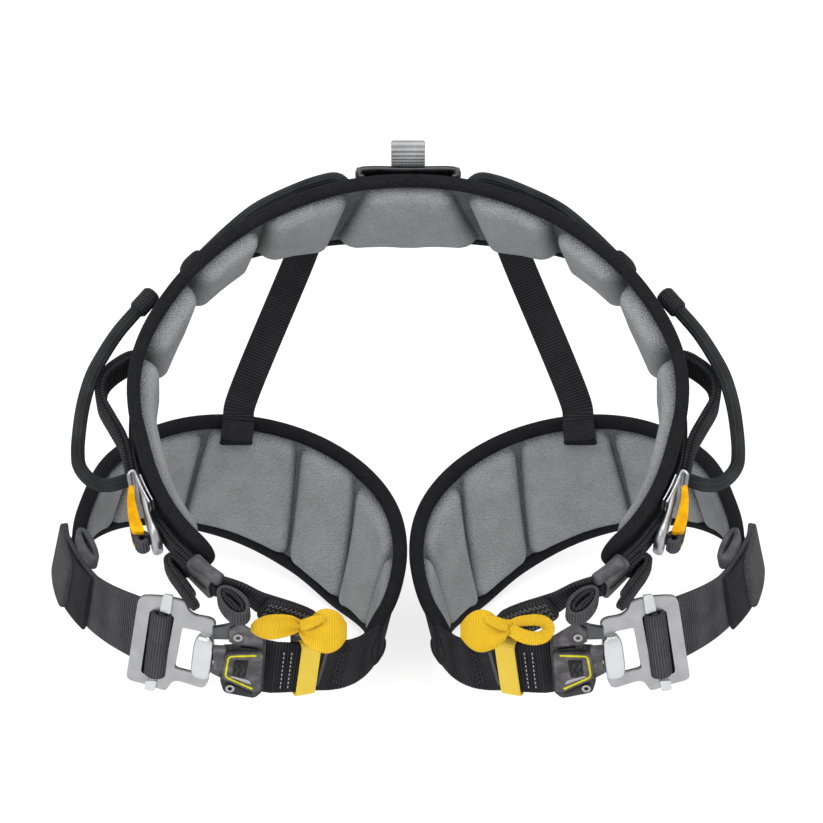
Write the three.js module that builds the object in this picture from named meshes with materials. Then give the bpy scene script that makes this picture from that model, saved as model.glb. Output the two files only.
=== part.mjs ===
// Sit harness: a padded waist belt, two padded leg loops and the straps and buckles between them.
// Sizes are in millimetres. X runs across the wearer, Y to the back and Z up.
// The origin is the middle of the waist opening. "left" is the -X side, as seen from the front.
import * as THREE from "three";

const DEGREE = Math.PI / 180;
const GAP = 0.3; // clearance between pieces that touch

// Waist belt. Angles are counted from the middle of the back, heights along the belt's own axis.
const BELT_TILT = 22; // degrees, the back is carried higher than the front
const BELT_HALF_WIDTH = 181.5;
const BELT_BACK_DEPTH = 171;
const BELT_FRONT_DEPTH = 130;
const BELT_END_ANGLE = 128;
const BELT_TIP_RADIUS = 18;
const BELT_ROWS = [
  { angle: 0, top: 58, bottom: -42, flare: 0.096, bulge: 2.27 },
  { angle: 20, top: 57, bottom: -40, flare: 0.171, bulge: 6.96 },
  { angle: 40, top: 53, bottom: -33, flare: 0.299, bulge: 14.64 },
  { angle: 60, top: 48, bottom: -30, flare: 0.228, bulge: 12.35 },
  { angle: 80, top: 40, bottom: -29, flare: 0.045, bulge: 5.2 },
  { angle: 100, top: 31, bottom: -26, flare: 0.063, bulge: -1.64 },
  { angle: 128, top: 18, bottom: -18, flare: 0, bulge: 0 },
];
const BELT_GROOVES = [
  { angle: -77, slant: 0 },
  { angle: -56, slant: 0 },
  { angle: -34, slant: 0 },
  { angle: -14, slant: 3.5 },
  { angle: 14, slant: -3.5 },
  { angle: 34, slant: 0 },
  { angle: 56, slant: 0 },
  { angle: 77, slant: 0 },
];

// Leg loop on the left. Angles are counted from the back, positive to the inside of the leg.
const LEG_CENTRE = { x: -121.5, y: 23, z: -130 };
const LEG_ROLL = 9; // degrees, the inside is carried lower than the outside
const LEG_HALF_WIDTH = 114;
const LEG_BACK_DEPTH = 100;
const LEG_FRONT_DEPTH = 100;
const LEG_PAD_FROM = -98;
const LEG_PAD_TO = 114;
const LEG_TIP_RADIUS = 22;
const LEG_ROWS = [
  { angle: -98, top: 15, bottom: -31, flare: 0.1, bulge: -3 },
  { angle: -75, top: 20, bottom: -33, flare: 0.07, bulge: -3.4 },
  { angle: -50, top: 26, bottom: -37, flare: -0.15, bulge: 0 },
  { angle: -25, top: 34, bottom: -46, flare: -0.22, bulge: 0 },
  { angle: 0, top: 37, bottom: -56, flare: -0.24, bulge: 0 },
  { angle: 30, top: 35, bottom: -66, flare: -0.26, bulge: 0 },
  { angle: 60, top: 29, bottom: -70, flare: -0.24, bulge: 0 },
  { angle: 90, top: 19, bottom: -57, flare: -0.12, bulge: 0 },
  { angle: 114, top: 8, bottom: -40, flare: 0, bulge: 3 },
  { angle: 135, top: 7, bottom: -38, flare: 0, bulge: 5 },
  { angle: 150, top: 13, bottom: -32, flare: 0, bulge: 2 },
  { angle: 180, top: 19, bottom: -26, flare: 0.1, bulge: 0 },
  { angle: 210, top: 23, bottom: -22, flare: 0.12, bulge: 0 },
  { angle: 235, top: 20, bottom: -25, flare: 0.05, bulge: 0 },
  { angle: 262, top: 18, bottom: -27, flare: 0.05, bulge: 0 },
];
const LEG_GROOVES = [
  { angle: -48, slant: 9 },
  { angle: -16, slant: 3.5 },
  { angle: 24, slant: -4 },
  { angle: 54, slant: -9 },
  { angle: 86, slant: -5 },
];

// Layers of both padded bands, measured from the middle of the outer shell.
const SHELL_THICKNESS = 3;
const BINDING_WIDTH = 8;
const BINDING_OUTSIDE = 3;
const BINDING_INSIDE = -6;
const BINDING_SOFT = 2;
const BELT_PAD_BASE = 5;
const BELT_PAD_RAISE = 9;
const LEG_PAD_BASE = 4;
const LEG_PAD_RAISE = 7;
const PAD_SHOULDER = 11;
const GROOVE_FLOOR = 1.1; // degrees to each side of a groove's middle
const GROOVE_BANK = 2.6;
const BAND_STEP = 10; // degrees between sections of a band
const PAD_END = 4; // degrees over which the liner drops at its ends
const SLANT_REACH = 14; // degrees from a groove over which its slant fades
const TIP_TURNS = [22.5, 45, 67.5, 90, 112.5, 135, 157.5];

// Webbing.
const LEG_WEBBING = { width: 45, thickness: 4 };
const SIDE_WEBBING = { width: 25, thickness: 7 };
const WAIST_WEBBING = { width: 18, thickness: 6 };
const TAIL_WEBBING = { width: 16, thickness: 5 };
const REAR_WEBBING = { width: 22, thickness: 2.5 };
const RISER_WEBBING = { width: 22, thickness: 3 };
const LOOP_WEBBING = { width: 17, thickness: 3.5 };
const YELLOW_WEBBING = { width: 20, thickness: 2 };
const BACK_LOOP_WEBBING = { width: 23, thickness: 2.5 };

// Left-hand pieces in the belt's own plan: x across, y to the back, height above the belt's middle.
const SIDE_STRAP_ROWS = [
  { x: -188, y: 56 },
  { x: -192.5, y: 53 },
  { x: -199.6, y: 47.1 },
  { x: -204.7, y: 40.2 },
  { x: -206, y: 32.6 },
  { x: -204.7, y: 23.5 },
  { x: -197.6, y: 9.9 },
  { x: -190.4, y: -3.6 },
  { x: -187.3, y: -12.6 },
  { x: -184.6, y: -25.2 },
];
const ADJUSTER_ROWS = [
  { x: -179.8, y: -33 },
  { x: -177.1, y: -40 },
  { x: -174.3, y: -48 },
  { x: -172.5, y: -56 },
  { x: -170.3, y: -64.4 },
  { x: -166, y: -77.5 },
  { x: -161.7, y: -88.4 },
];
const LEVER_OUTLINE = [
  [-184, -42],
  [-180.6, -42],
  [-179.4, -53],
  [-176.5, -65],
  [-172, -76.5],
  [-181, -76.5],
  [-183.8, -65],
  [-184.8, -53],
];
const WAIST_STRAP_ROWS = [
  { x: -162.5, y: -69 },
  { x: -155, y: -79.5 },
  { x: -143.5, y: -92 },
  { x: -130.5, y: -106 },
  { x: -125.2, y: -112 },
];
const WAIST_TAIL_ROWS = [
  { x: -143.8, y: -106.2 },
  { x: -149.5, y: -99.5 },
  { x: -155, y: -96 },
  { x: -159, y: -98.5 },
  { x: -156.5, y: -105.5 },
  { x: -150.5, y: -113.5 },
  { x: -144.5, y: -122 },
  { x: -139, y: -129.5 },
];
const SIDE_LOOP_ROWS = [
  { x: -171.3, y: 99.8, height: 20, radius: 7 },
  { x: -179.5, y: 88.9, height: 20, radius: 7 },
  { x: -184, y: 83, height: 20, radius: 4.5 },
  { x: -194.6, y: 68.2, height: 20, radius: 4.5 },
  { x: -203.6, y: 52, height: 19.5, radius: 4.5 },
  { x: -210.7, y: 36.9, height: 18, radius: 4.5 },
  { x: -216.5, y: 20.5, height: 9, radius: 4.5 },
  { x: -219.6, y: 4.5, height: -1, radius: 4.5 },
  { x: -220.5, y: -7.5, height: -8, radius: 4.5 },
  { x: -219.4, y: -15.7, height: -11, radius: 4.5 },
  { x: -213.5, y: -24.3, height: -12.5, radius: 4.5 },
  { x: -205.5, y: -29.2, height: -13, radius: 4.5 },
  { x: -196.8, y: -29.7, height: -12, radius: 4.5 },
  { x: -193, y: -28.8, height: -11, radius: 4.5 },
];
const REAR_LOOP_ROWS = [
  { angle: -45, offset: 5.6, height: 12, radius: 3.5 },
  { angle: -38, offset: 9, height: 18, radius: 3.5 },
  { angle: -31, offset: 14.5, height: 22, radius: 3.5 },
  { angle: -24, offset: 15.5, height: 30, radius: 3.5 },
  { angle: -18, offset: 14.5, height: 38, radius: 3.5 },
  { angle: -14.5, offset: 11, height: 43.5, radius: 3.5 },
  { angle: -12.9, offset: 5.8, height: 41, radius: 3.5 },
];
const LEVER_HEIGHT = 24;
const ADJUSTER_SECTION = { width: 34, thickness: 4 };
const STRAP_ROLL = { x: -174.5, y: -83.5, radius: 5.5, length: 20 };
const KEEPER = { length: 22, depth: 7.2, height: 19.4, wall: 2.8 };
const FRONT_LOOP = { x: -113.8, y: -124.5, height: 2, halfLength: 12.5, halfDepth: 7, turn: -47 };

// Back plate with lipped ends and the webbing loop behind it, in the belt's plan.
const BACK_PLATE = { halfWidth: 34, lip: 4, face: 3, height: 50, bottom: 2, offset: 12 };
const BACK_LOOP = { halfDepth: 6, halfHeight: 15, height: 51, offset: 24 };

// Left-hand buckle: frame outline in x along the strap to the outside and z up.
const BUCKLE_FRAME = { angle: 200, lift: 5.5, turn: 3.5, offset: 4.3, thickness: 3.2 };
const FRAME_OUTLINE = [
  [28, -30],
  [28, 30],
  [25, 33],
  [-2, 36],
  [-6, 34],
  [-10, 28.5],
  [-25, 28],
  [-28.5, 24.5],
  [-28.5, -24.5],
  [-25, -28],
  [-10, -28.5],
  [-6, -34],
  [-2, -36],
  [25, -33],
];
const FRAME_SLOT = { from: 0, to: 17, half: 26 };
const FRAME_WINDOW = { from: -18.5, to: -6.5, half: 16.5 };
const FRAME_ROLL = { x: 8.5, radius: 7.3, length: 48 };
const LATCH = { angle: 175, lift: 8, turn: 4, offset: 4.5, halfLength: 15.5, halfHeight: 28, thickness: 11 };
const LATCH_LEVER = { halfLength: 12, halfHeight: 15, thickness: 3 };
const LATCH_SCREW = { x: 6, z: 21.5, radius: 3.2, thickness: 1.6 };
const LEG_KEEPER = { angle: 249.5, lift: 30, halfLength: 15, halfDepth: 4.2, width: 10, thickness: 3 };
const LEG_TAIL = { from: 235, to: 270, offset: 5.5 };
const LOOP_BAND = { angle: 152, length: 13, depth: 7.2, height: 48.8, wall: 1.8 };

// Left-hand pieces between belt and leg loop, in the harness frame.
const ATTACHMENT_LOOP = { x: -67, y: -124, z: -62, halfLength: 30, lobe: 7, waist: 4 };
const RISER_ROWS = [
  { point: [-109, -105.5, -41.6], across: [0, -0.37, 0.93] },
  { point: [-95, -108.5, -48], across: [0.1, -0.2, 0.95] },
  { point: [-78, -109.5, -55], across: [0.25, 0, 0.95] },
  { point: [-66, -106, -65], across: [0.55, 0.1, 0.75] },
  { point: [-60, -96, -82], across: [0.78, 0.3, 0.35] },
  { point: [-60, -83, -103], across: [0.88, 0.4, 0] },
  { point: [-62.5, -70, -119], across: [0.9, 0.4, -0.2] },
];
const REAR_STRAP = { beltAngle: -20.7, legAngle: -2.4 };

// Colours of the materials.
const BLACK = 0x17181a;
const GREY = 0x77797c;
const LIGHT_GREY = 0x9a9c9f;
const SILVER = 0xc9cbce;
const YELLOW = 0xd9a820;
const AMBER = 0xe8a41c;

// Value of a named column of a table at an angle, on a smooth curve through the rows.
function tableValue(rows, name, angle) {
  const last = rows.length - 1;
  const held = Math.min(Math.max(angle, rows[0].angle), rows[last].angle);
  const i = Math.min(Math.max(rows.findIndex((row) => row.angle >= held), 1), last);
  const [a, b] = [rows[i - 1], rows[i]];
  const before = rows[Math.max(i - 2, 0)];
  const after = rows[Math.min(i + 1, last)];
  const span = b.angle - a.angle;
  const slopeA = (b[name] - before[name]) / (b.angle - before.angle);
  const slopeB = (after[name] - a[name]) / (after.angle - a.angle);
  const t = (held - a.angle) / span;
  const lift = t * t * (3 - 2 * t);
  const easeA = t * (1 - t) * (1 - t) * span * slopeA;
  const easeB = t * t * (1 - t) * span * slopeB;
  return a[name] + (b[name] - a[name]) * lift + easeA - easeB;
}

// An upright band round an ellipse. Its wall leans outward by "flare" toward the lower edge.
class Band {
  constructor(halfWidth, backDepth, frontDepth, rows, mirrored) {
    Object.assign(this, { halfWidth, backDepth, frontDepth, rows, mirrored });
  }

  halfDepth(angle) {
    return Math.cos(angle * DEGREE) > 0 ? this.backDepth : this.frontDepth;
  }

  value(name, angle) {
    return tableValue(this.rows, name, this.mirrored ? Math.abs(angle) : angle);
  }

  point(angle, height, offset) {
    const sine = Math.sin(angle * DEGREE);
    const cosine = Math.cos(angle * DEGREE);
    const depth = this.halfDepth(angle);
    const out = new THREE.Vector2(depth * sine, this.halfWidth * cosine).normalize();
    const reach = offset + this.value("bulge", angle) - height * this.value("flare", angle);
    const x = this.halfWidth * sine + out.x * reach;
    const y = depth * cosine + out.y * reach;
    return new THREE.Vector3(x, y, height);
  }

  // Local frame on the wall: x along the band, y outward, z up the wall.
  frame(angle, height, offset) {
    const origin = this.point(angle, height, offset);
    const ahead = this.point(angle + 0.5, height, offset);
    const behind = this.point(angle - 0.5, height, offset);
    const along = ahead.sub(behind).normalize();
    const rough = this.point(angle, height + 1, offset).sub(origin);
    const out = rough.cross(along).normalize();
    const up = along.clone().cross(out);
    return new THREE.Matrix4().makeBasis(along, out, up).setPosition(origin);
  }

  // Degrees of the ellipse that span a length near an angle.
  degrees(length, angle) {
    const sine = Math.sin(angle * DEGREE);
    const cosine = Math.cos(angle * DEGREE);
    return length / Math.hypot(this.halfWidth * cosine, this.halfDepth(angle) * sine) / DEGREE;
  }
}

// Closed solid through rings of equal point count. Open lofts get a cap at each end.
function loft(rings, closed = false) {
  const count = rings[0].length;
  const corners = rings.flat();
  const faces = [];
  const spans = closed ? rings.length : rings.length - 1;
  for (let i = 0; i < spans; i += 1) {
    const near = i * count;
    const far = ((i + 1) % rings.length) * count;
    for (let j = 0; j < count; j += 1) {
      const k = (j + 1) % count;
      faces.push([near + j, near + k, far + k], [near + j, far + k, far + j]);
    }
  }
  if (!closed) {
    const end = (rings.length - 1) * count;
    for (let j = 1; j < count - 1; j += 1) {
      faces.push([0, j + 1, j], [end, end + j, end + j + 1]);
    }
  }
  const cross = new THREE.Vector3();
  const volume = faces.reduce((sum, [a, b, c]) => {
    return sum + corners[a].dot(cross.crossVectors(corners[b], corners[c]));
  }, 0);
  const outward = volume > 0 ? faces : faces.map(([a, b, c]) => [a, c, b]);
  const geometry = new THREE.BufferGeometry().setFromPoints(corners);
  geometry.setIndex(outward.flat());
  geometry.computeVertexNormals();
  return geometry;
}

// Angles of the sections of a band, evenly spaced between the given stops.
function sectionAngles(stops) {
  const sorted = [...stops].sort((a, b) => a - b);
  return sorted.flatMap((stop, i) => {
    if (i === sorted.length - 1) return [stop];
    const parts = Math.max(1, Math.round((sorted[i + 1] - stop) / BAND_STEP));
    return Array.from({ length: parts }, (_, k) => stop + ((sorted[i + 1] - stop) * k) / parts);
  });
}

// Places of a padded band: its sections lie at the same angles in every layer.
function bandLayout(band, from, to, tipRadius, grooves) {
  const banks = grooves.flatMap(({ angle }) => [
    angle - GROOVE_BANK,
    angle - GROOVE_FLOOR,
    angle + GROOVE_FLOOR,
    angle + GROOVE_BANK,
  ]);
  const runs = sectionAngles([from, from + PAD_END, ...banks, to - PAD_END, to]);
  return { band, from, to, tipRadius, grooves, runs };
}

// Sections of a layer inside the binding, with the edge heights, also in the rounded tips.
function innerSections({ band, from, to, tipRadius, runs }) {
  const inset = BINDING_WIDTH + GAP;
  const edges = (angle) => ({
    top: band.value("top", angle) - inset,
    bottom: band.value("bottom", angle) + inset,
  });
  const tip = (angle, sign) => {
    const { top, bottom } = edges(angle);
    const reach = tipRadius - BINDING_WIDTH - 4 * GAP;
    return TIP_TURNS.slice(0, 3).map((turn) => {
      const past = band.degrees(reach * Math.sin(turn * DEGREE), angle);
      const half = ((top - bottom) / 2 - 3 * GAP) * Math.cos(turn * DEGREE);
      const middle = (top + bottom) / 2;
      return { angle: angle + sign * past, top: middle + half, bottom: middle - half };
    });
  };
  const straight = runs.map((angle) => ({ angle, ...edges(angle) }));
  return [...tip(from, -1).reverse(), ...straight, ...tip(to, 1)];
}

function shellGeometry(layout) {
  const half = SHELL_THICKNESS / 2;
  const rings = innerSections(layout).map(({ angle, top, bottom }) => [
    layout.band.point(angle, top, half),
    layout.band.point(angle, bottom, half),
    layout.band.point(angle, bottom, -half),
    layout.band.point(angle, top, -half),
  ]);
  return loft(rings);
}

// Liner of raised panels with grooves between them. A groove is slanted by degrees at each edge.
function paddingGeometry(layout, base, raise) {
  const { band, from, to, grooves } = layout;
  const back = -SHELL_THICKNESS / 2 - GAP;
  const rings = innerSections(layout).map(({ angle, top, bottom }) => {
    const low = grooves.some((groove) => Math.abs(groove.angle - angle) < (GROOVE_FLOOR + GROOVE_BANK) / 2);
    const face = back - base - (low || angle <= from || angle >= to ? 0 : raise);
    const slant = grooves.reduce((sum, groove) => {
      return sum + groove.slant * Math.max(0, 1 - Math.abs(groove.angle - angle) / SLANT_REACH);
    }, 0);
    const middle = (top + bottom) / 2;
    const half = (top - bottom) / 2;
    const shoulder = Math.min(PAD_SHOULDER, (2 * half) / 3);
    const at = (height, offset) => band.point(angle + (slant * (height - middle)) / half, height, offset);
    return [
      band.point(angle, bottom, back),
      band.point(angle, top, back),
      band.point(angle, top, back - base),
      at(top - shoulder, face),
      at(middle, face),
      at(bottom + shoulder, face),
      band.point(angle, bottom, back - base),
    ];
  });
  return loft(rings);
}

// Rolled edge that runs once round a band.
function bindingGeometry({ band, from, to, tipRadius, runs }) {
  const edge = (angle, name, inward) => ({ angle, height: band.value(name, angle) + inward });
  const tip = (angle, sign) => {
    const middle = (band.value("top", angle) + band.value("bottom", angle)) / 2;
    const half = (band.value("top", angle) - band.value("bottom", angle)) / 2;
    const spot = (turn, inset) => ({
      angle: angle + sign * band.degrees((tipRadius - inset) * Math.sin(turn * DEGREE), angle),
      height: middle + (half - inset) * Math.cos(turn * DEGREE),
    });
    return TIP_TURNS.map((turn) => ({
      outer: spot(turn, 0),
      soft: spot(turn, BINDING_SOFT),
      inner: spot(turn, BINDING_WIDTH),
    }));
  };
  const run = (name, sign) => {
    return runs.map((angle) => ({
      outer: edge(angle, name, 0),
      soft: edge(angle, name, -sign * BINDING_SOFT),
      inner: edge(angle, name, -sign * BINDING_WIDTH),
    }));
  };
  const path = [...run("top", 1), ...tip(to, 1), ...run("bottom", -1).reverse(), ...tip(from, -1).reverse()];
  const rings = path.map(({ outer, soft, inner }) => {
    const at = ({ angle, height }, offset) => band.point(angle, height, offset);
    return [
      at(outer, BINDING_INSIDE + BINDING_SOFT),
      at(outer, BINDING_OUTSIDE - BINDING_SOFT),
      at(soft, BINDING_OUTSIDE),
      at(inner, BINDING_OUTSIDE),
      at(inner, BINDING_INSIDE),
      at(soft, BINDING_INSIDE),
    ];
  });
  return loft(rings, true);
}

// Webbing that lies along a band.
function strapGeometry(band, from, to, { width, thickness }, offset) {
  const rings = sectionAngles([from, to]).map((angle) => {
    const [outer, inner] = [offset + thickness / 2, offset - thickness / 2];
    const middle = (band.value("top", angle) + band.value("bottom", angle)) / 2;
    const [top, bottom] = [middle + width / 2, middle - width / 2];
    return [
      band.point(angle, top, outer),
      band.point(angle, bottom, outer),
      band.point(angle, bottom, inner),
      band.point(angle, top, inner),
    ];
  });
  return loft(rings);
}

// Webbing on edge along a plan curve through rows of x, y and middle height.
function ribbonGeometry(rows, { width, thickness }, steps, closed = false) {
  const points = rows.map(({ x, y, height = 0 }) => new THREE.Vector3(x, y, height));
  const curve = new THREE.CatmullRomCurve3(points, closed, "centripetal");
  const count = closed ? steps : steps + 1;
  const rings = Array.from({ length: count }, (_, i) => {
    const spot = curve.getPoint(i / steps);
    const run = curve.getTangent(i / steps);
    const side = new THREE.Vector3(-run.y, run.x, 0).setLength(thickness / 2);
    const lift = new THREE.Vector3(0, 0, width / 2);
    return [
      spot.clone().add(side).add(lift),
      spot.clone().add(side).sub(lift),
      spot.clone().sub(side).sub(lift),
      spot.clone().sub(side).add(lift),
    ];
  });
  return loft(rings, closed);
}

// Flat webbing through points in space, each with the direction across the strap.
function webbingGeometry(rows, { width, thickness }, steps) {
  const path = new THREE.CatmullRomCurve3(rows.map((row) => row.point), false, "centripetal");
  const across = new THREE.CatmullRomCurve3(rows.map((row) => row.across));
  const rings = Array.from({ length: steps + 1 }, (_, i) => {
    const spot = path.getPoint(i / steps);
    const wide = across.getPoint(i / steps).setLength(width / 2);
    const thick = path.getTangent(i / steps).cross(wide).setLength(thickness / 2);
    return [
      spot.clone().add(wide).add(thick),
      spot.clone().sub(wide).add(thick),
      spot.clone().sub(wide).sub(thick),
      spot.clone().add(wide).sub(thick),
    ];
  });
  return loft(rings);
}

// Round bar bent through points in space, with a radius at each point.
function tubeGeometry(points, radii, steps, sides) {
  const curve = new THREE.CatmullRomCurve3(points, false, "centripetal");
  const { normals, binormals } = curve.computeFrenetFrames(steps, false);
  const last = radii.length - 1;
  const rings = Array.from({ length: steps + 1 }, (_, i) => {
    const share = curve.getUtoTmapping(i / steps) * last;
    const before = Math.min(Math.floor(share), last - 1);
    const radius = radii[before] + (radii[before + 1] - radii[before]) * (share - before);
    const spot = curve.getPointAt(i / steps);
    return Array.from({ length: sides }, (_, k) => {
      const turn = (2 * Math.PI * k) / sides;
      const reach = normals[i].clone().multiplyScalar(radius * Math.cos(turn));
      return spot.clone().add(reach).addScaledVector(binormals[i], radius * Math.sin(turn));
    });
  });
  return loft(rings);
}

// Flat plate from an outline in the x and z directions, centred on its thickness in y.
function plateGeometry(outline, holes, thickness) {
  const shape = new THREE.Shape(outline.map(([x, z]) => new THREE.Vector2(x, z)));
  shape.holes = holes.map((hole) => new THREE.Path(hole.map(([x, z]) => new THREE.Vector2(x, z))));
  const geometry = new THREE.ExtrudeGeometry(shape, { depth: thickness, bevelEnabled: false });
  return geometry.translate(0, 0, -thickness / 2).rotateX(Math.PI / 2);
}

// Outline of a rectangle with cut corners.
function cutRectangle(x0, x1, z0, z1, cut) {
  return [
    [x0 + cut, z0],
    [x1 - cut, z0],
    [x1, z0 + cut],
    [x1, z1 - cut],
    [x1 - cut, z1],
    [x0 + cut, z1],
    [x0, z1 - cut],
    [x0, z0 + cut],
  ];
}

// Sleeve round a strap that runs in x: inner depth in y, inner height in z.
function sleeveGeometry(length, depth, height, wall) {
  const half = [depth / 2, height / 2];
  const outer = cutRectangle(-half[0] - wall, half[0] + wall, -half[1] - wall, half[1] + wall, wall);
  const inner = cutRectangle(-half[0], half[0], -half[1], half[1], 0.4);
  const geometry = plateGeometry(outer, [inner], length);
  return geometry.rotateZ(Math.PI / 2);
}

const harness = new THREE.Group();
const beltBand = new Band(BELT_HALF_WIDTH, BELT_BACK_DEPTH, BELT_FRONT_DEPTH, BELT_ROWS, true);
const legBand = new Band(LEG_HALF_WIDTH, LEG_BACK_DEPTH, LEG_FRONT_DEPTH, LEG_ROWS, false);
const beltFrame = new THREE.Matrix4().makeRotationX(BELT_TILT * DEGREE);
const legFrame = new THREE.Matrix4()
  .makeRotationY(LEG_ROLL * DEGREE)
  .setPosition(LEG_CENTRE.x, LEG_CENTRE.y, LEG_CENTRE.z);

function addMesh(group, name, geometry, colour, roughness, metalness = 0) {
  const material = new THREE.MeshStandardMaterial({ color: colour, roughness, metalness });
  const mesh = new THREE.Mesh(geometry, material);
  mesh.name = name;
  group.add(mesh);
}

// Belt and the pieces on its back.
const beltLayout = bandLayout(beltBand, -BELT_END_ANGLE, BELT_END_ANGLE, BELT_TIP_RADIUS, BELT_GROOVES);
const beltPadding = paddingGeometry(beltLayout, BELT_PAD_BASE, BELT_PAD_RAISE);
addMesh(harness, "belt_shell", shellGeometry(beltLayout).applyMatrix4(beltFrame), BLACK, 0.9);
addMesh(harness, "belt_binding", bindingGeometry(beltLayout).applyMatrix4(beltFrame), BLACK, 0.9);
addMesh(harness, "belt_padding", beltPadding.applyMatrix4(beltFrame), GREY, 0.95);

// Frame on the middle of the belt's back: x across, y outward, z up the wall, all turned with the belt.
function backFrame(height, offset) {
  return beltFrame.clone().multiply(beltBand.frame(0, height, offset));
}

function backPlateGeometry() {
  const { halfWidth, lip, face, height, offset } = BACK_PLATE;
  const depth = offset - lip;
  const outline = [
    [-halfWidth, -depth],
    [-halfWidth, 0],
    [halfWidth, 0],
    [halfWidth, -depth],
    [halfWidth - lip, -depth],
    [halfWidth - lip, -face],
    [lip - halfWidth, -face],
    [lip - halfWidth, -depth],
  ];
  return plateGeometry(outline, [], height).rotateX(-Math.PI / 2);
}

function backLoopGeometry() {
  const { halfDepth, halfHeight } = BACK_LOOP;
  const rows = [0, 45, 90, 135, 180, 225, 270, 315].map((turn) => ({
    x: halfDepth * Math.cos(turn * DEGREE),
    y: halfHeight * Math.sin(turn * DEGREE),
  }));
  return ribbonGeometry(rows, BACK_LOOP_WEBBING, 24, true).rotateX(Math.PI / 2).rotateZ(Math.PI / 2);
}
const plateMiddle = BACK_PLATE.bottom + BACK_PLATE.height / 2;
const plateFrame = backFrame(plateMiddle, BACK_PLATE.offset + BACK_PLATE.face);
addMesh(harness, "back_plate", backPlateGeometry().applyMatrix4(plateFrame), BLACK, 0.5);
const backLoop = backLoopGeometry().applyMatrix4(backFrame(BACK_LOOP.height, BACK_LOOP.offset));
addMesh(harness, "back_loop", backLoop, LIGHT_GREY, 0.9);

// Round bar that stands along z.
function rollGeometry(radius, length, sides = 12) {
  return new THREE.CylinderGeometry(radius, radius, length, sides).rotateX(Math.PI / 2);
}

// Closed loop of webbing on edge, its plan an oval turned by degrees.
function ovalLoopGeometry({ x = 0, y = 0, height = 0, halfLength, halfDepth, turn = 0 }, webbing) {
  const rows = [0, 30, 60, 90, 120, 150, 180, 210, 240, 270, 300, 330].map((spot) => {
    const along = halfLength * Math.cos(spot * DEGREE);
    const out = halfDepth * Math.sin(spot * DEGREE);
    return {
      x: x + along * Math.cos(turn * DEGREE) - out * Math.sin(turn * DEGREE),
      y: y + along * Math.sin(turn * DEGREE) + out * Math.cos(turn * DEGREE),
      height,
    };
  });
  return ribbonGeometry(rows, webbing, 28, true);
}

// Loop with two lobes and a pinched waist.
function lobedLoopGeometry({ halfLength, lobe, waist }, webbing) {
  const rows = [0, 20, 45, 70, 90, 110, 135, 160, 180, 200, 225, 250, 270, 290, 315, 340].map((spot) => {
    const cosine = Math.cos(spot * DEGREE);
    const bulge = Math.abs(Math.sin(2 * spot * DEGREE));
    const reach = waist + (lobe - waist) * bulge;
    return { x: halfLength * cosine, y: reach * Math.sign(Math.sin(spot * DEGREE)) * (1 - cosine ** 8) };
  });
  return ribbonGeometry(rows, webbing, 40, true);
}

function rearStrapGeometry() {
  const { beltAngle, legAngle } = REAR_STRAP;
  const beltBottom = beltBand.value("bottom", beltAngle);
  const legTop = legBand.value("top", legAngle);
  const sewn = BINDING_OUTSIDE + REAR_WEBBING.thickness + 3 * GAP;
  const onBelt = (height, offset) => beltBand.point(beltAngle, height, offset).applyMatrix4(beltFrame);
  const onLeg = (height, offset) => legBand.point(legAngle, height, offset).applyMatrix4(legFrame);
  const across = new THREE.Vector3(1, 0, 0);
  const points = [
    onBelt(beltBottom + 30, sewn),
    onBelt(beltBottom + 8, sewn),
    onBelt(beltBottom - 8, sewn - 1),
    onLeg(legTop + 10, -4),
    onLeg(legTop + 4, -8),
    onLeg(legTop - 3, -11),
    onLeg(legTop - 11, -13),
  ];
  return webbingGeometry(points.map((point) => ({ point, across })), REAR_WEBBING, 24);
}

// Strap keeper over the front strap, turned along it.
function waistKeeperGeometry() {
  const [near, far] = WAIST_STRAP_ROWS.slice(-3, -1);
  const turn = Math.atan2(far.y - near.y, far.x - near.x);
  const sleeve = sleeveGeometry(KEEPER.length, KEEPER.depth, KEEPER.height, KEEPER.wall);
  return sleeve.rotateZ(turn).translate(far.x - 3, far.y + 3.2, 0);
}

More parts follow.
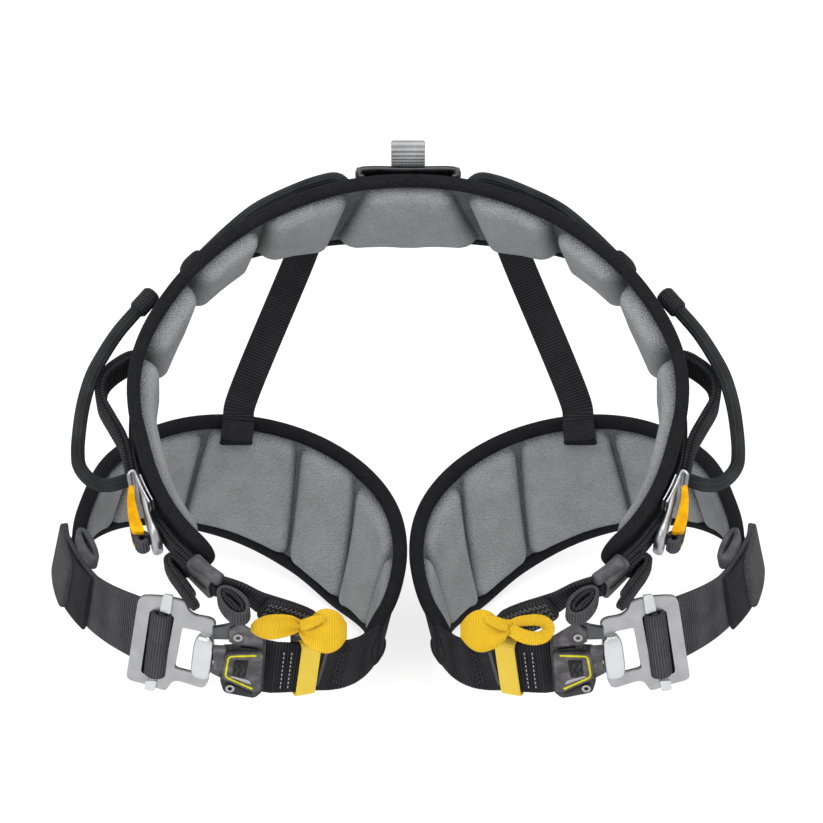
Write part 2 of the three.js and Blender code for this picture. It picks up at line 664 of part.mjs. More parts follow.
// One side of the harness. The right side is its mirror image.
function addSide(suffix, mirror) {
  const side = new THREE.Group();
  side.scale.x = mirror;
  harness.add(side);
  const add = (name, geometry, colour, roughness, metalness) => {
    addMesh(side, `${name}_${suffix}`, geometry, colour, roughness, metalness);
  };
  const addOnBelt = (name, geometry, ...look) => add(name, geometry.applyMatrix4(beltFrame), ...look);
  const addOnLeg = (name, geometry, ...look) => add(name, geometry.applyMatrix4(legFrame), ...look);

  // Leg loop.
  const legLayout = bandLayout(legBand, LEG_PAD_FROM, LEG_PAD_TO, LEG_TIP_RADIUS, LEG_GROOVES);
  addOnLeg("leg_shell", shellGeometry(legLayout), BLACK, 0.9);
  addOnLeg("leg_binding", bindingGeometry(legLayout), BLACK, 0.9);
  addOnLeg("leg_padding", paddingGeometry(legLayout, LEG_PAD_BASE, LEG_PAD_RAISE), GREY, 0.95);
  addOnLeg("leg_strap_inner", strapGeometry(legBand, 127, 165.5, LEG_WEBBING, 0), BLACK, 0.9);
  addOnLeg("leg_strap_outer", strapGeometry(legBand, 209.4, 249, LEG_WEBBING, 0), BLACK, 0.9);
  const tail = strapGeometry(legBand, LEG_TAIL.from, LEG_TAIL.to, LEG_WEBBING, LEG_TAIL.offset);
  addOnLeg("leg_tail", tail, BLACK, 0.9);

  // Loop on the outer strap's upper edge and sleeve round the inner strap.
  const middle = (angle) => (legBand.value("top", angle) + legBand.value("bottom", angle)) / 2;
  const keeperFrame = legBand.frame(LEG_KEEPER.angle, middle(LEG_KEEPER.angle) + LEG_KEEPER.lift, 0);
  const keeper = ovalLoopGeometry(LEG_KEEPER, LEG_KEEPER);
  addOnLeg("leg_keeper", keeper.applyMatrix4(keeperFrame), LIGHT_GREY, 0.7);
  const band = sleeveGeometry(LOOP_BAND.length, LOOP_BAND.depth, LOOP_BAND.height, LOOP_BAND.wall);
  const bandFrame = legBand.frame(LOOP_BAND.angle, middle(LOOP_BAND.angle), 0);
  addOnLeg("loop_band", band.applyMatrix4(bandFrame), YELLOW, 0.9);

  // Buckle.
  const turnedSpot = ({ angle, lift, turn, offset }) => {
    const spot = legBand.frame(angle, middle(angle) + lift, offset);
    return spot.multiply(new THREE.Matrix4().makeRotationY(turn * DEGREE));
  };
  const frameSpot = turnedSpot(BUCKLE_FRAME);
  const hole = ({ from, to, half }) => cutRectangle(from, to, -half, half, 1.5);
  const holes = [FRAME_SLOT, FRAME_WINDOW].map(hole);
  const frame = plateGeometry(FRAME_OUTLINE, holes, BUCKLE_FRAME.thickness);
  addOnLeg("buckle_frame", frame.applyMatrix4(frameSpot), SILVER, 0.35, 1);
  const roll = rollGeometry(FRAME_ROLL.radius, FRAME_ROLL.length).translate(FRAME_ROLL.x, 0, 0);
  addOnLeg("buckle_roll", roll.applyMatrix4(frameSpot), BLACK, 0.9);
  const latchSpot = turnedSpot(LATCH);
  const { halfLength, halfHeight, thickness } = LATCH;
  const latchOutline = cutRectangle(-halfLength, halfLength, -halfHeight, halfHeight, 7);
  const latch = plateGeometry(latchOutline, [], thickness);
  addOnLeg("buckle_latch", latch.applyMatrix4(latchSpot), BLACK, 0.5);
  const top = thickness / 2 + GAP;
  const leverOutline = cutRectangle(
    -LATCH_LEVER.halfLength,
    LATCH_LEVER.halfLength,
    -LATCH_LEVER.halfHeight,
    LATCH_LEVER.halfHeight,
    3,
  );
  const latchLever = plateGeometry(leverOutline, [], LATCH_LEVER.thickness);
  latchLever.translate(-2, top + LATCH_LEVER.thickness / 2, 0);
  addOnLeg("buckle_lever", latchLever.applyMatrix4(latchSpot), BLACK, 0.5);
  const screw = (sign) => {
    const { radius, thickness: depth, x, z } = LATCH_SCREW;
    const head = new THREE.CylinderGeometry(radius, radius, depth, 12);
    head.translate(x, top + depth / 2, sign * z);
    return head.applyMatrix4(latchSpot);
  };
  addOnLeg("screw_upper", screw(1), SILVER, 0.4, 1);
  addOnLeg("screw_lower", screw(-1), SILVER, 0.4, 1);

  // Straps and loops at the side and front of the belt.
  const sideSpots = SIDE_LOOP_ROWS.map(({ x, y, height }) => new THREE.Vector3(x, y, height));
  const sideRadii = SIDE_LOOP_ROWS.map(({ radius }) => radius);
  addOnBelt("side_gear_loop", tubeGeometry(sideSpots, sideRadii, 40, 8), BLACK, 0.8);
  const rearSpots = REAR_LOOP_ROWS.map(({ angle, offset, height }) => beltBand.point(angle, height, offset));
  const rearRadii = REAR_LOOP_ROWS.map(({ radius }) => radius);
  addOnBelt("rear_gear_loop", tubeGeometry(rearSpots, rearRadii, 20, 8), BLACK, 0.8);
  addOnBelt("side_strap", ribbonGeometry(SIDE_STRAP_ROWS, SIDE_WEBBING, 24), BLACK, 0.9);
  addOnBelt("adjuster_frame", ribbonGeometry(ADJUSTER_ROWS, ADJUSTER_SECTION, 12), SILVER, 0.35, 1);
  const lever = plateGeometry(LEVER_OUTLINE, [], LEVER_HEIGHT).rotateX(-Math.PI / 2);
  addOnBelt("adjuster_lever", lever, AMBER, 0.5);
  const strapRoll = rollGeometry(STRAP_ROLL.radius, STRAP_ROLL.length);
  strapRoll.translate(STRAP_ROLL.x, STRAP_ROLL.y, 0);
  addOnBelt("strap_roll", strapRoll, BLACK, 0.9);
  addOnBelt("waist_strap", ribbonGeometry(WAIST_STRAP_ROWS, WAIST_WEBBING, 12), BLACK, 0.9);
  addOnBelt("waist_tail", ribbonGeometry(WAIST_TAIL_ROWS, TAIL_WEBBING, 24), BLACK, 0.9);
  addOnBelt("waist_keeper", waistKeeperGeometry(), LIGHT_GREY, 0.7);
  addOnBelt("front_loop", ovalLoopGeometry(FRONT_LOOP, LOOP_WEBBING), BLACK, 0.9);

  // Straps between belt and leg loop.
  const vector = ([x, y, z]) => new THREE.Vector3(x, y, z);
  const riserRow = ({ point, across }) => ({ point: vector(point), across: vector(across) });
  const riserRows = RISER_ROWS.map(riserRow);
  add("riser", webbingGeometry(riserRows, RISER_WEBBING, 16), BLACK, 0.9);
  const attachment = lobedLoopGeometry(ATTACHMENT_LOOP, YELLOW_WEBBING);
  attachment.translate(ATTACHMENT_LOOP.x, ATTACHMENT_LOOP.y, ATTACHMENT_LOOP.z);
  add("attachment_loop", attachment, YELLOW, 0.9);
  add("rear_strap", rearStrapGeometry(), BLACK, 0.9);
}
addSide("left", 1);
addSide("right", -1);

export default harness;
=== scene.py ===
"""Looks of a sit harness: padded belt and leg loops, webbing, buckles and loops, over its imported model."""

import math

import bmesh
import bpy
import numpy as np
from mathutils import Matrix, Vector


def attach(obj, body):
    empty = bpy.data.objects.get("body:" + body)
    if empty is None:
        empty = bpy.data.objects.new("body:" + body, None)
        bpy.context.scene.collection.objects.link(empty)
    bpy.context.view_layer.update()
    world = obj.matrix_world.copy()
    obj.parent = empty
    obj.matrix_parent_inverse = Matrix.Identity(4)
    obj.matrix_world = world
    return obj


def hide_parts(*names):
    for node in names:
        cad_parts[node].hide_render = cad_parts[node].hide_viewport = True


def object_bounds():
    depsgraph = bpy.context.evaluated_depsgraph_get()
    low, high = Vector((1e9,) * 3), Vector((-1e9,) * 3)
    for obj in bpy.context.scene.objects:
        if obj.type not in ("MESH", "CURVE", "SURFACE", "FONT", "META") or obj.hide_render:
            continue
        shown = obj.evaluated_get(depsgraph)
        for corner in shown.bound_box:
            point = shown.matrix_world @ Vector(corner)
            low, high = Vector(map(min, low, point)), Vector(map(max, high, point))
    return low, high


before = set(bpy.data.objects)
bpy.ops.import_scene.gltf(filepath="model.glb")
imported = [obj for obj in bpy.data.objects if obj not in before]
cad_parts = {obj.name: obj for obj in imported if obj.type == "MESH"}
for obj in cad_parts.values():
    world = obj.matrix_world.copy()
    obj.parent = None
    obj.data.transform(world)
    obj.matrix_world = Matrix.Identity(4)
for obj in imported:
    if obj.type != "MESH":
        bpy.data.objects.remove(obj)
cad_low, cad_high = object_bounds()

# Sizes are in millimetres and degrees. X runs across the wearer, Y to the back and Z up.
DEGREE = math.pi / 180
TAU = 2 * math.pi
MM = 0.001
SIDES = (("left", 1), ("right", -1))
UPRIGHT = (0, 0, 1)
ACROSS = (1, 0, 0)
# Which ways a grid is joined end to end: along its rows, and round each row.
TUBE = (False, True)
RING = (True, True)

# Waist belt: angle from the middle of the back, top, bottom, flare and bulge of its wall.
BELT_TILT = 22
BELT_ROWS = np.array(
    [
        (0, 58, -42, 0.096, 2.27),
        (20, 57, -40, 0.171, 6.96),
        (40, 53, -33, 0.299, 14.64),
        (60, 48, -30, 0.228, 12.35),
        (80, 40, -29, 0.045, 5.2),
        (100, 31, -26, 0.063, -1.64),
        (128, 18, -18, 0, 0),
    ]
)
# Grooves between panels: angle, slant, and half the gap at the bottom and at the top.
HALF_GROOVES = ((14, -3.2, 3.4, 5.6), (34, 0, 4.2, 3.4), (54, 0, 4.2, 3), (74, 0, 3, 2.6))
BELT_GROOVES = [(-angle, -slant, low, high) for angle, slant, low, high in HALF_GROOVES[::-1]]
BELT_GROOVES += HALF_GROOVES

# Left leg loop: angle from the back, positive to the inside of the leg.
LEG_CENTRE = (-121.5, 23, -130)
LEG_ROLL = 9
LEG_ROWS = np.array(
    [
        (-98, 15, -31, 0.1, -3),
        (-75, 20, -33, 0.07, -3.4),
        (-50, 26, -37, -0.15, 0),
        (-25, 34, -46, -0.22, 0),
        (0, 37, -56, -0.24, 0),
        (30, 35, -66, -0.26, 0),
        (60, 29, -70, -0.24, 0),
        (90, 19, -57, -0.12, 0),
        (114, 8, -40, 0, 3),
        (135, 7, -38, 0, 5),
        (150, 13, -32, 0, 2),
        (180, 19, -26, 0.1, 0),
        (210, 23, -22, 0.12, 0),
        (235, 20, -25, 0.05, 0),
        (262, 18, -27, 0.05, 0),
    ]
)
LEG_SLANTS = ((-48, 9), (-16, 3.5), (24, -4), (54, -9), (86, -5))
LEG_GROOVES = [(angle, slant, 1.2, 1.5) for angle, slant in LEG_SLANTS]
# Degrees that a groove's slant reaches, and millimetres over which its sides bend.
SLANT_REACH = 14
BEND_REACH = 16
# Shell, the binding on its edge, and the liner's gap and columns, in millimetres.
SHELL_HALF = 1.5
BINDING_WIDTH = 8
BINDING_OUT = 3.3
LINER_GAP = 0.3
COLUMN_STEP = 7

# Left-hand plan curves on the belt: x across and y to the back.
SIDE_STRAP = (
    (-181, 60),
    (-186, 57.5),
    (-192.5, 53),
    (-199.6, 47.1),
    (-204.7, 40.2),
    (-206, 32.6),
    (-204.7, 23.5),
    (-197.6, 9.9),
    (-190.4, -3.6),
    (-187.3, -12.6),
    (-184.6, -25.2),
    (-183.4, -31),
)
ADJUSTER = (
    (-184.6, -34),
    (-183, -31.6),
    (-180.8, -31.4),
    (-179.4, -34),
    (-177.1, -40),
    (-174.3, -48),
    (-172.5, -56),
    (-170.3, -64.4),
    (-166, -77.5),
    (-163.2, -84.8),
)
LEVER_OUTLINE = (
    (-184, -42),
    (-180.6, -42),
    (-179.4, -53),
    (-176.5, -65),
    (-172, -76.5),
    (-181, -76.5),
    (-183.8, -65),
    (-184.8, -53),
)
WAIST_STRAP = ((-167, -64), (-162.5, -69), (-155, -79.5), (-143.5, -92), (-130.5, -106), (-123, -114.4))
WAIST_TAIL = (
    (-142.9, -101.2),
    (-148.6, -94.6),
    (-154, -90.6),
    (-157.4, -93),
    (-155.2, -100.2),
    (-149.2, -109.4),
    (-142.8, -118.8),
    (-137.6, -125.2),
)
SIDE_LOOP = (
    (-180, 88.2, 20),
    (-184, 83, 20),
    (-194.6, 68.2, 20),
    (-203.6, 52, 19.5),
    (-210.7, 36.9, 18),
    (-216.5, 20.5, 9),
    (-219.6, 4.5, -1),
    (-220.5, -7.5, -8),
    (-219.4, -15.7, -11),
    (-213.5, -24.3, -12.5),
    (-205.5, -29.2, -13),
    (-196.8, -29.7, -12),
    (-190.5, -28.2, -11),
    (-185.5, -26.6, -10),
)
SIDE_LOOP_ROLL = ((-171.5, 99.4), (-182.9, 84.3))
REAR_LOOP = (
    (-45, 5.6, 12),
    (-38, 9, 18),
    (-31, 14.5, 22),
    (-24, 15.5, 30),
    (-18, 14.5, 38),
    (-14.5, 11, 43.5),
    (-12.9, 5.8, 41),
)
STRAP_ROLL = (-174.5, -78)
FRONT_LOOP = {"x": -113.8, "y": -124.5, "turn": -47}

# Buckle on the front of the leg: outlines in x to the outside of the leg and z up.
FRAME_SPOT = {"angle": 200, "lift": 5.5, "turn": 3.5, "offset": 4.3}
FRAME_OUTLINE = (
    (26.6, -34),
    (24.8, 28),
    (23, 31.6),
    (18, 33.6),
    (7.6, 36.2),
    (-5, 37.4),
    (-8.2, 36),
    (-10.4, 30.4),
    (-15.5, 28.2),
    (-26.5, 29.6),
    (-30, 27),
    (-29.8, -24),
    (-27, -27.8),
    (-9, -27.2),
    (-5, -30),
    (-2.6, -37),
    (-0.6, -38.4),
    (13, -37.6),
    (23.6, -38),
    (26.2, -36.5),
)
FRAME_SLOT = ((1, -30), (17, -29.4), (15.8, 23.5), (-1.6, 24))
FRAME_WINDOW = ((-22, -17.8), (-5.6, -18.5), (-7.2, 16.4), (-22, 17.6))
LATCH_SPOT = {"angle": 175, "lift": 8, "turn": 4, "offset": 4.5}
LATCH_OUTLINE = (
    (5.6, 33),
    (-11.2, 21.5),
    (-14.2, 19.5),
    (-14.2, -22.5),
    (-9, -28.5),
    (11.8, -24),
    (15, -14),
    (15, 12.6),
    (7.4, 12.8),
    (7.4, 20.4),
    (11.5, 20.8),
    (11.5, 29),
)
LATCH_LINE = ((-8.1, 11.1), (10.5, 9.8), (11.9, -7.7), (-6.9, -17.7))


def unit(vectors):
    """Vectors divided by their lengths."""
    return vectors / np.linalg.norm(vectors, axis=-1, keepdims=True)


def spin(a, b, degrees):
    """Two coordinates after a turn in their plane, from the first toward the second."""
    cosine = math.cos(degrees * DEGREE)
    sine = math.sin(degrees * DEGREE)
    return a * cosine - b * sine, a * sine + b * cosine


def lengths(path):
    """Length of a path from its start to each of its points."""
    return np.concatenate([[0], np.cumsum(np.linalg.norm(np.diff(path, axis=0), axis=1))])


def soft_power(value, power):
    """A power of a value's size, its sign kept."""
    return np.sign(value) * np.abs(value) ** power


def roll(distance, radius):
    """Quarter circle: 0 at no distance and 1 from the radius on."""
    left = 1 - np.clip(distance / radius, 0, 1)
    return np.sqrt(1 - left * left)


def table_curve(rows, column, angle):
    """A column at angles: in each gap a cubic with the slopes of the chords over the rows beside its ends."""
    stops = rows[:, 0]
    values = rows[:, column]
    last = len(rows) - 1
    held = np.clip(angle, stops[0], stops[last])
    i = np.clip(np.searchsorted(stops, held), 1, last)
    before = np.maximum(i - 2, 0)
    after = np.minimum(i + 1, last)
    span = stops[i] - stops[i - 1]
    slope_a = (values[i] - values[before]) / (stops[i] - stops[before])
    slope_b = (values[after] - values[i - 1]) / (stops[after] - stops[i - 1])
    t = (held - stops[i - 1]) / span
    step = values[i - 1] + (values[i] - values[i - 1]) * t * t * (3 - 2 * t)
    return step + t * (1 - t) ** 2 * span * slope_a - t * t * (1 - t) * span * slope_b


class Band:
    """Upright wall round an ellipse with its own depth in front and behind, leaning out toward its foot."""

    def __init__(self, half_width, back_depth, front_depth, rows, ends, tip, grooves, mirrored):
        self.half_width = half_width
        self.back_depth = back_depth
        self.front_depth = front_depth
        self.rows = rows
        self.first, self.last = ends
        self.tip = tip
        self.grooves = grooves
        self.mirrored = mirrored

    def value(self, column, angle):
        """A table column at angles, the same on both sides of a mirrored band."""
        return table_curve(self.rows, column, np.abs(angle) if self.mirrored else np.asarray(angle))

    def middle(self, angle):
        """Height half way up the wall."""
        return (self.value(1, angle) + self.value(2, angle)) / 2

    def half(self, angle):
        """Half the wall's height."""
        return (self.value(1, angle) - self.value(2, angle)) / 2

    def depth(self, angle):
        """Half depth of the ellipse at angles."""
        return np.where(np.cos(np.asarray(angle) * DEGREE) > 0, self.back_depth, self.front_depth)

    def spacing(self, angle):
        """Millimetres round the ellipse to a degree: the ellipse's speed at that angle."""
        turn = np.asarray(angle) * DEGREE
        return np.hypot(self.half_width * np.cos(turn), self.depth(angle) * np.sin(turn)) * DEGREE

    def point(self, angle, height, offset):
        """Ellipse point moved along its normal by the offset, the bulge and minus height times flare."""
        angle, height, offset = np.broadcast_arrays(angle, height, offset)
        sine = np.sin(angle * DEGREE)
        cosine = np.cos(angle * DEGREE)
        depth = self.depth(angle)
        size = np.hypot(depth * sine, self.half_width * cosine)
        reach = (offset + self.value(4, angle) - height * self.value(3, angle)) / size
        x = self.half_width * sine + depth * sine * reach
        y = depth * cosine + self.half_width * cosine * reach
        return np.stack([x, y, height], -1)

    def axes(self, angle, height, offset):
        """A spot on the wall, with the directions along it, out of it and up it."""
        spot = self.point(angle, height, offset)
        along = unit(self.point(angle + 0.5, height, offset) - self.point(angle - 0.5, height, offset))
        out = unit(np.cross(self.point(angle, height + 1, offset) - spot, along))
        return spot, along, out, np.cross(along, out)


belt = Band(181.5, 171, 130, BELT_ROWS, (-128, 128), 18, BELT_GROOVES, True)
leg = Band(114, 100, 100, LEG_ROWS, (-98, 114), 22, LEG_GROOVES, False)


def on_belt(points):
    """Belt plan to harness frame: a turn about X by the belt's tilt."""
    x, y, z = np.moveaxis(np.asarray(points, float), -1, 0)
    return np.stack([x, *spin(y, z, BELT_TILT)], -1)


def on_leg(points):
    """Leg band to harness frame: a turn about Y by the leg's roll, then the leg's centre is added."""
    x, y, z = np.moveaxis(np.asarray(points, float), -1, 0)
    z, x = spin(z, x, LEG_ROLL)
    return np.stack([x, y, z], -1) + LEG_CENTRE


def in_place(points):
    """Points that are in the harness frame already."""
    return np.asarray(points, float)


# Shader building.
def tint(red, green, blue):
    """Linear colour of screen values from 0 to 255."""
    return tuple(((value / 255 + 0.055) / 1.055) ** 2.4 for value in (red, green, blue)) + (1.0,)


class Value:
    """A shader socket. Arithmetic on it adds Math nodes."""

    def __init__(self, paint, socket):
        self.paint = paint
        self.socket = socket

    def math(self, operation, *others):
        """A Math node on this value and others."""
        return self.paint.node("Math", {"operation": operation}, dict(enumerate((self, *others))))

    def __add__(self, other):
        return self.math("ADD", other)

    def __mul__(self, other):
        return self.math("MULTIPLY", other)

    def __sub__(self, other):
        return self.math("SUBTRACT", other)

    def wave(self, length):
        """Sine of this distance, once over every length."""
        return (self * (TAU / length)).math("SINE")

    def ramp(self, low, high):
        """0 below low, 1 above high and smooth between."""
        settings = {"interpolation_type": "SMOOTHSTEP"}
        return self.paint.node("MapRange", settings, {0: self, 1: low, 2: high, 3: 0.0, 4: 1.0})


class Paint:
    """A material being built. Any node comes from its type, its settings and its inputs."""

    def __init__(self, name):
        self.material = bpy.data.materials.new(name)
        self.material.use_nodes = True
        self.tree = self.material.node_tree
        self.tree.nodes.clear()

    def node(self, kind, settings, inputs, output=0):
        """Adds a node, sets it, fills its inputs and gives one of its outputs."""
        made = self.tree.nodes.new("ShaderNode" + kind)
        for name, value in settings.items():
            setattr(made, name, value)
        for key, value in inputs.items():
            if isinstance(value, Value):
                self.tree.links.new(value.socket, made.inputs[key])
            else:
                made.inputs[key].default_value = value
        return Value(self, made.outputs[output]) if len(made.outputs) else None

    def cloth(self):
        """Distances along and over the piece in millimetres, from its UV."""
        spread = self.node("UVMap", {"uv_map": "cloth"}, {})
        return self.node("SeparateXYZ", {}, {0: spread}, 0), self.node("SeparateXYZ", {}, {0: spread}, 1)

    def noise(self, size, detail=2.0):
        """Cloudy value from 0 to 1 with blots of about this size in millimetres, in object space."""
        place = self.node("TexCoord", {}, {}, "Object")
        return self.node("TexNoise", {}, {"Vector": place, "Scale": 1000.0 / size, "Detail": detail})

    def mix(self, share, first, second):
        """Colour between two, by share."""
        return self.node("Mix", {"data_type": "RGBA"}, {0: share, 6: first, 7: second}, 2)

    def surface(self, colour, roughness, height=None, depth=0.3, strength=1.0, constants=None):
        """Ends the material with one shader, its normal bumped by a height over a depth in millimetres."""
        inputs = {"Base Color": colour, "Roughness": roughness, **(constants or {})}
        if height is not None:
            bump = {"Strength": strength, "Distance": depth * MM, "Height": height}
            inputs["Normal"] = self.node("Bump", {}, bump)
        shader = self.node("BsdfPrincipled", {}, inputs)
        self.node("OutputMaterial", {}, {"Surface": shader})
        return self.material


MATT = {"Specular IOR Level": 0.1}


def padding_finish():
    """Grey knit: a fine check of two waves bent by soft blots, with painted shade in the grooves between
    panels.
    """
    paint = Paint("padding knit")
    along, over = paint.cloth()
    blot = paint.noise(18)
    bend = paint.noise(5) * 2.6
    knit = (along + bend).wave(2.6) * (over - bend).wave(1.9)
    fibre = paint.noise(1.1)
    # Painted shade: the knit is darker where the liner is less full, in the grooves between panels and along
    # their rounded edges.
    full = paint.node("Attribute", {"attribute_name": "full"}, {}, "Fac")
    share = knit * 0.13 + fibre * 0.7 + blot * 0.3 + full.ramp(0.0, 0.9) * 0.5 - 0.47
    colour = paint.mix(share, tint(82, 83, 84), tint(166, 167, 168))
    height = knit * 0.4 + fibre * 0.6
    return paint.surface(colour, 0.92, height, 0.6, 0.9, MATT)


def twill_finish(name, dark, light, pitch):
    """Plain dark cloth: diagonal twill lines crossed by fine threads, with wear blots."""
    paint = Paint(name)
    along, over = paint.cloth()
    line = (along + over).wave(pitch)
    thread = (along - over).wave(pitch * 0.7)
    wear = paint.noise(9)
    fibre = paint.noise(1.4)
    share = line * 0.15 + fibre * 1.1 + wear * 0.3 - 0.3
    height = line * 0.5 + thread * 0.25 + fibre * 0.4
    return paint.surface(paint.mix(share, dark, light), 0.82, height, 0.25, 0.7, MATT)


def webbing_finish(name, dark, light, rib, thread):
    """Woven strap: round ribs across it, warp threads along it that shift by half from rib to rib."""
    paint = Paint(name)
    along, over = paint.cloth()
    bar = along.wave(rib)
    warp = (over + along.wave(rib * 2) * (thread * 0.25)).wave(thread)
    fibre = paint.noise(0.5)
    wear = paint.noise(12)
    # Ribs and warp threads are lighter on their crests: partly the weave's pattern, partly painted highlight.
    share = bar * 0.22 + warp * 0.1 + fibre * 0.4 + wear * 0.3
    height = bar * 0.6 + warp * 0.3 + fibre * 0.3
    return paint.surface(paint.mix(share, dark, light), 0.75, height, 0.45, 0.9, MATT)


def sheath_finish():
    """Sheathed tube: a fine diagonal braid, two crossed waves, over soft wear."""
    paint = Paint("gear loop sheath")
    along, over = paint.cloth()
    braid = (along + over * 0.8).wave(1.5) * (along - over * 0.8).wave(1.5)
    wear = paint.noise(16)
    share = braid * 0.25 + wear * 0.7
    return paint.surface(paint.mix(share, tint(24, 25, 26), tint(70, 71, 73)), 0.6, braid, 0.25, 0.8, MATT)


def metal_finish(name, dark, light, roughness):
    """Metal: a fine grain in height and faint clouds in tone and gloss."""
    paint = Paint(name)
    cloud = paint.noise(11, 4.0)
    grain = paint.noise(0.35)
    gloss = cloud * 0.18 + (roughness - 0.09)
    colour = paint.mix(cloud, dark, light)
    return paint.surface(colour, gloss, grain, 0.03, 0.4, {"Metallic": 1.0})


def moulded_finish(name, dark, light, roughness, coat=0.0, gleam=0.3):
    """Moulded plastic or rubber: a fine pebbled skin, a little lighter on scuffed blots."""
    paint = Paint(name)
    pebble = paint.noise(0.5)
    scuff = paint.noise(7, 4.0)
    colour = paint.mix(scuff.ramp(0.35, 0.75), dark, light)
    gloss = scuff * 0.15 + (roughness - 0.07)
    constants = {"Coat Weight": coat, "Specular IOR Level": gleam}
    return paint.surface(colour, gloss, pebble, 0.08, 0.5, constants)


def thread_finish(name, dark, light):
    """Sewing thread: a fine twist in tone."""
    paint = Paint(name)
    twist = paint.noise(0.5)
    return paint.surface(paint.mix(twist, dark, light), 0.7, twist, 0.1, 0.6)


# Distance from rib to rib of the webbings, in their finish and in their shape.
BLACK_RIB = 2.1
BOLD_RIB = 2.2
OUTER_RIB = 1.65
PADDING = padding_finish()
SHELL = twill_finish("shell cloth", tint(20, 20, 22), tint(52, 52, 55), 1.3)
BINDING = twill_finish("binding tape", tint(10, 10, 12), tint(40, 40, 43), 0.9)
SMOOTH_TWILL = twill_finish("smooth panel cloth", tint(26, 26, 28), tint(56, 56, 59), 0.8)
PANEL_TWILL = twill_finish("strap end cloth", tint(44, 44, 46), tint(90, 90, 93), 0.8)
WEBBING = webbing_finish("black webbing", tint(14, 14, 16), tint(66, 66, 69), BLACK_RIB, 1.3)
BOLD_WEBBING = webbing_finish("bold black webbing", tint(8, 8, 10), tint(64, 64, 67), BOLD_RIB, 1.3)
OUTER_WEBBING = webbing_finish("worn black webbing", tint(34, 34, 36), tint(104, 104, 107), OUTER_RIB, 1.2)
GREY_WEBBING = webbing_finish("grey webbing", tint(104, 105, 107), tint(202, 203, 205), 3.4, 1.4)
YELLOW_WEBBING = webbing_finish("yellow webbing", tint(246, 200, 46), tint(255, 240, 122), 1.1, 0.9)
YELLOW_TAPE = webbing_finish("yellow tape", tint(204, 154, 18), tint(246, 212, 66), 1.1, 0.9)
SHEATH = sheath_finish()
SILVER = metal_finish("buckle metal", tint(142, 142, 144), tint(184, 184, 186), 0.36)
# A lighter copy of the buckle metal for the tongue, the fork's prongs and the clips: painted highlight.
HIGHLIT_METAL = metal_finish("buckle metal with painted highlight", tint(186, 187, 189), tint(216, 217, 218), 0.3)
DARK_METAL = metal_finish("dark metal", tint(58, 59, 62), tint(104, 105, 108), 0.28)
LATCH_GREY = moulded_finish("latch moulding", tint(32, 32, 34), tint(60, 60, 62), 0.34)
LEVER_GREY = moulded_finish("latch lever moulding", tint(62, 60, 62), tint(104, 100, 103), 0.36)
# Near-black moulding: the latch's dark pad, and painted shade for the fills, slits and slots put where there
# is only shadow.
BLACK_AND_SHADE = moulded_finish("black moulding and painted recess shade", tint(8, 8, 9), tint(22, 22, 24), 0.5)
PLATE_BLACK = moulded_finish("back plate moulding", tint(12, 12, 14), tint(34, 34, 36), 0.28, 0.3)
KEEPER_GREY = moulded_finish("keeper rubber", tint(60, 60, 62), tint(84, 84, 86), 0.62)
AMBER = moulded_finish("amber lever", tint(190, 134, 0), tint(216, 162, 2), 0.5, gleam=0.05)
LINE_YELLOW = moulded_finish("yellow line", tint(196, 192, 12), tint(220, 214, 28), 0.4, gleam=0.1)
BLACK_THREAD = thread_finish("black thread", tint(12, 12, 13), tint(44, 44, 46))
MID_THREAD = thread_finish("dark grey thread", tint(52, 52, 54), tint(98, 98, 100))
GREY_THREAD = thread_finish("grey thread", tint(120, 120, 122), tint(190, 190, 192))


# Meshes. Angles above these keep an edge sharp and get a bevel, and points this near are one, in millimetres.
SHARP_ANGLE = 50
BEVEL_ANGLE = 40
SAME_POINT = 0.06
# Steps of a smooth path between two of its rows.
PATH_STEPS = 24
# Stitches: share of the length and of the thread's girth at each ring, and points round a ring.
STITCH_SHARES = np.array([0, 0.15, 0.5, 0.85, 1])
STITCH_GIRTHS = np.array([0.35, 0.85, 1, 0.85, 0.35])
STITCH_SIDES = 6


def link_object(name, data):
    """A new object in the scene, at the origin."""
    made = bpy.data.objects.new(name, data)
    bpy.context.scene.collection.objects.link(made)
    return made


def both_sides(points):
    """The two sides' names, with left-hand points and with their mirror images."""
    return [(side, points * (flip, 1, 1)) for side, flip in SIDES]


def add_object(name, vertices, faces, finish, stands_for=(), spread=None, fullness=None):
    """An object from vertices in millimetres and faces, turned outward by the sign of its volume."""
    volume = 0
    for corners in faces:
        for k in range(1, corners.shape[1] - 1):
            a, b, c = (vertices[corners[:, n]] for n in (0, k, k + 1))
            volume += np.sum(a * np.cross(b, c))
    order = slice(None, None, -1) if volume < 0 else slice(None)
    mesh = bpy.data.meshes.new(name)
    lists = [face for corners in faces for face in corners[:, order].tolist()]
    mesh.from_pydata((vertices * MM).tolist(), [], lists)
    if spread is not None:
        layer = mesh.uv_layers.new(name="cloth")
        layer.data.foreach_set("uv", np.concatenate([part[:, order].ravel() for part in spread]))
    if fullness is not None:
        mesh.attributes.new("full", "FLOAT", "POINT").data.foreach_set("value", fullness.ravel())
    mesh.polygons.foreach_set("use_smooth", np.ones(len(lists), bool))
    mesh.set_sharp_from_angle(angle=SHARP_ANGLE * DEGREE)
    mesh.materials.append(finish)
    piece = link_object(name, mesh)
    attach(piece, "root")
    if stands_for:
        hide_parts(*stands_for)
    return piece


def grid_quads(rows, columns, loop):
    """Row and column numbers of the corners of a grid's quads, and the quads of point numbers."""
    i, j = np.meshgrid(np.arange(rows - 1 + loop[0]), np.arange(columns - 1 + loop[1]), indexing="ij")
    corners = ((i, j), (i + 1, j), (i + 1, j + 1), (i, j + 1))
    quads = np.stack([(a % rows) * columns + b % columns for a, b in corners], -1).reshape(-1, 4)
    return corners, quads


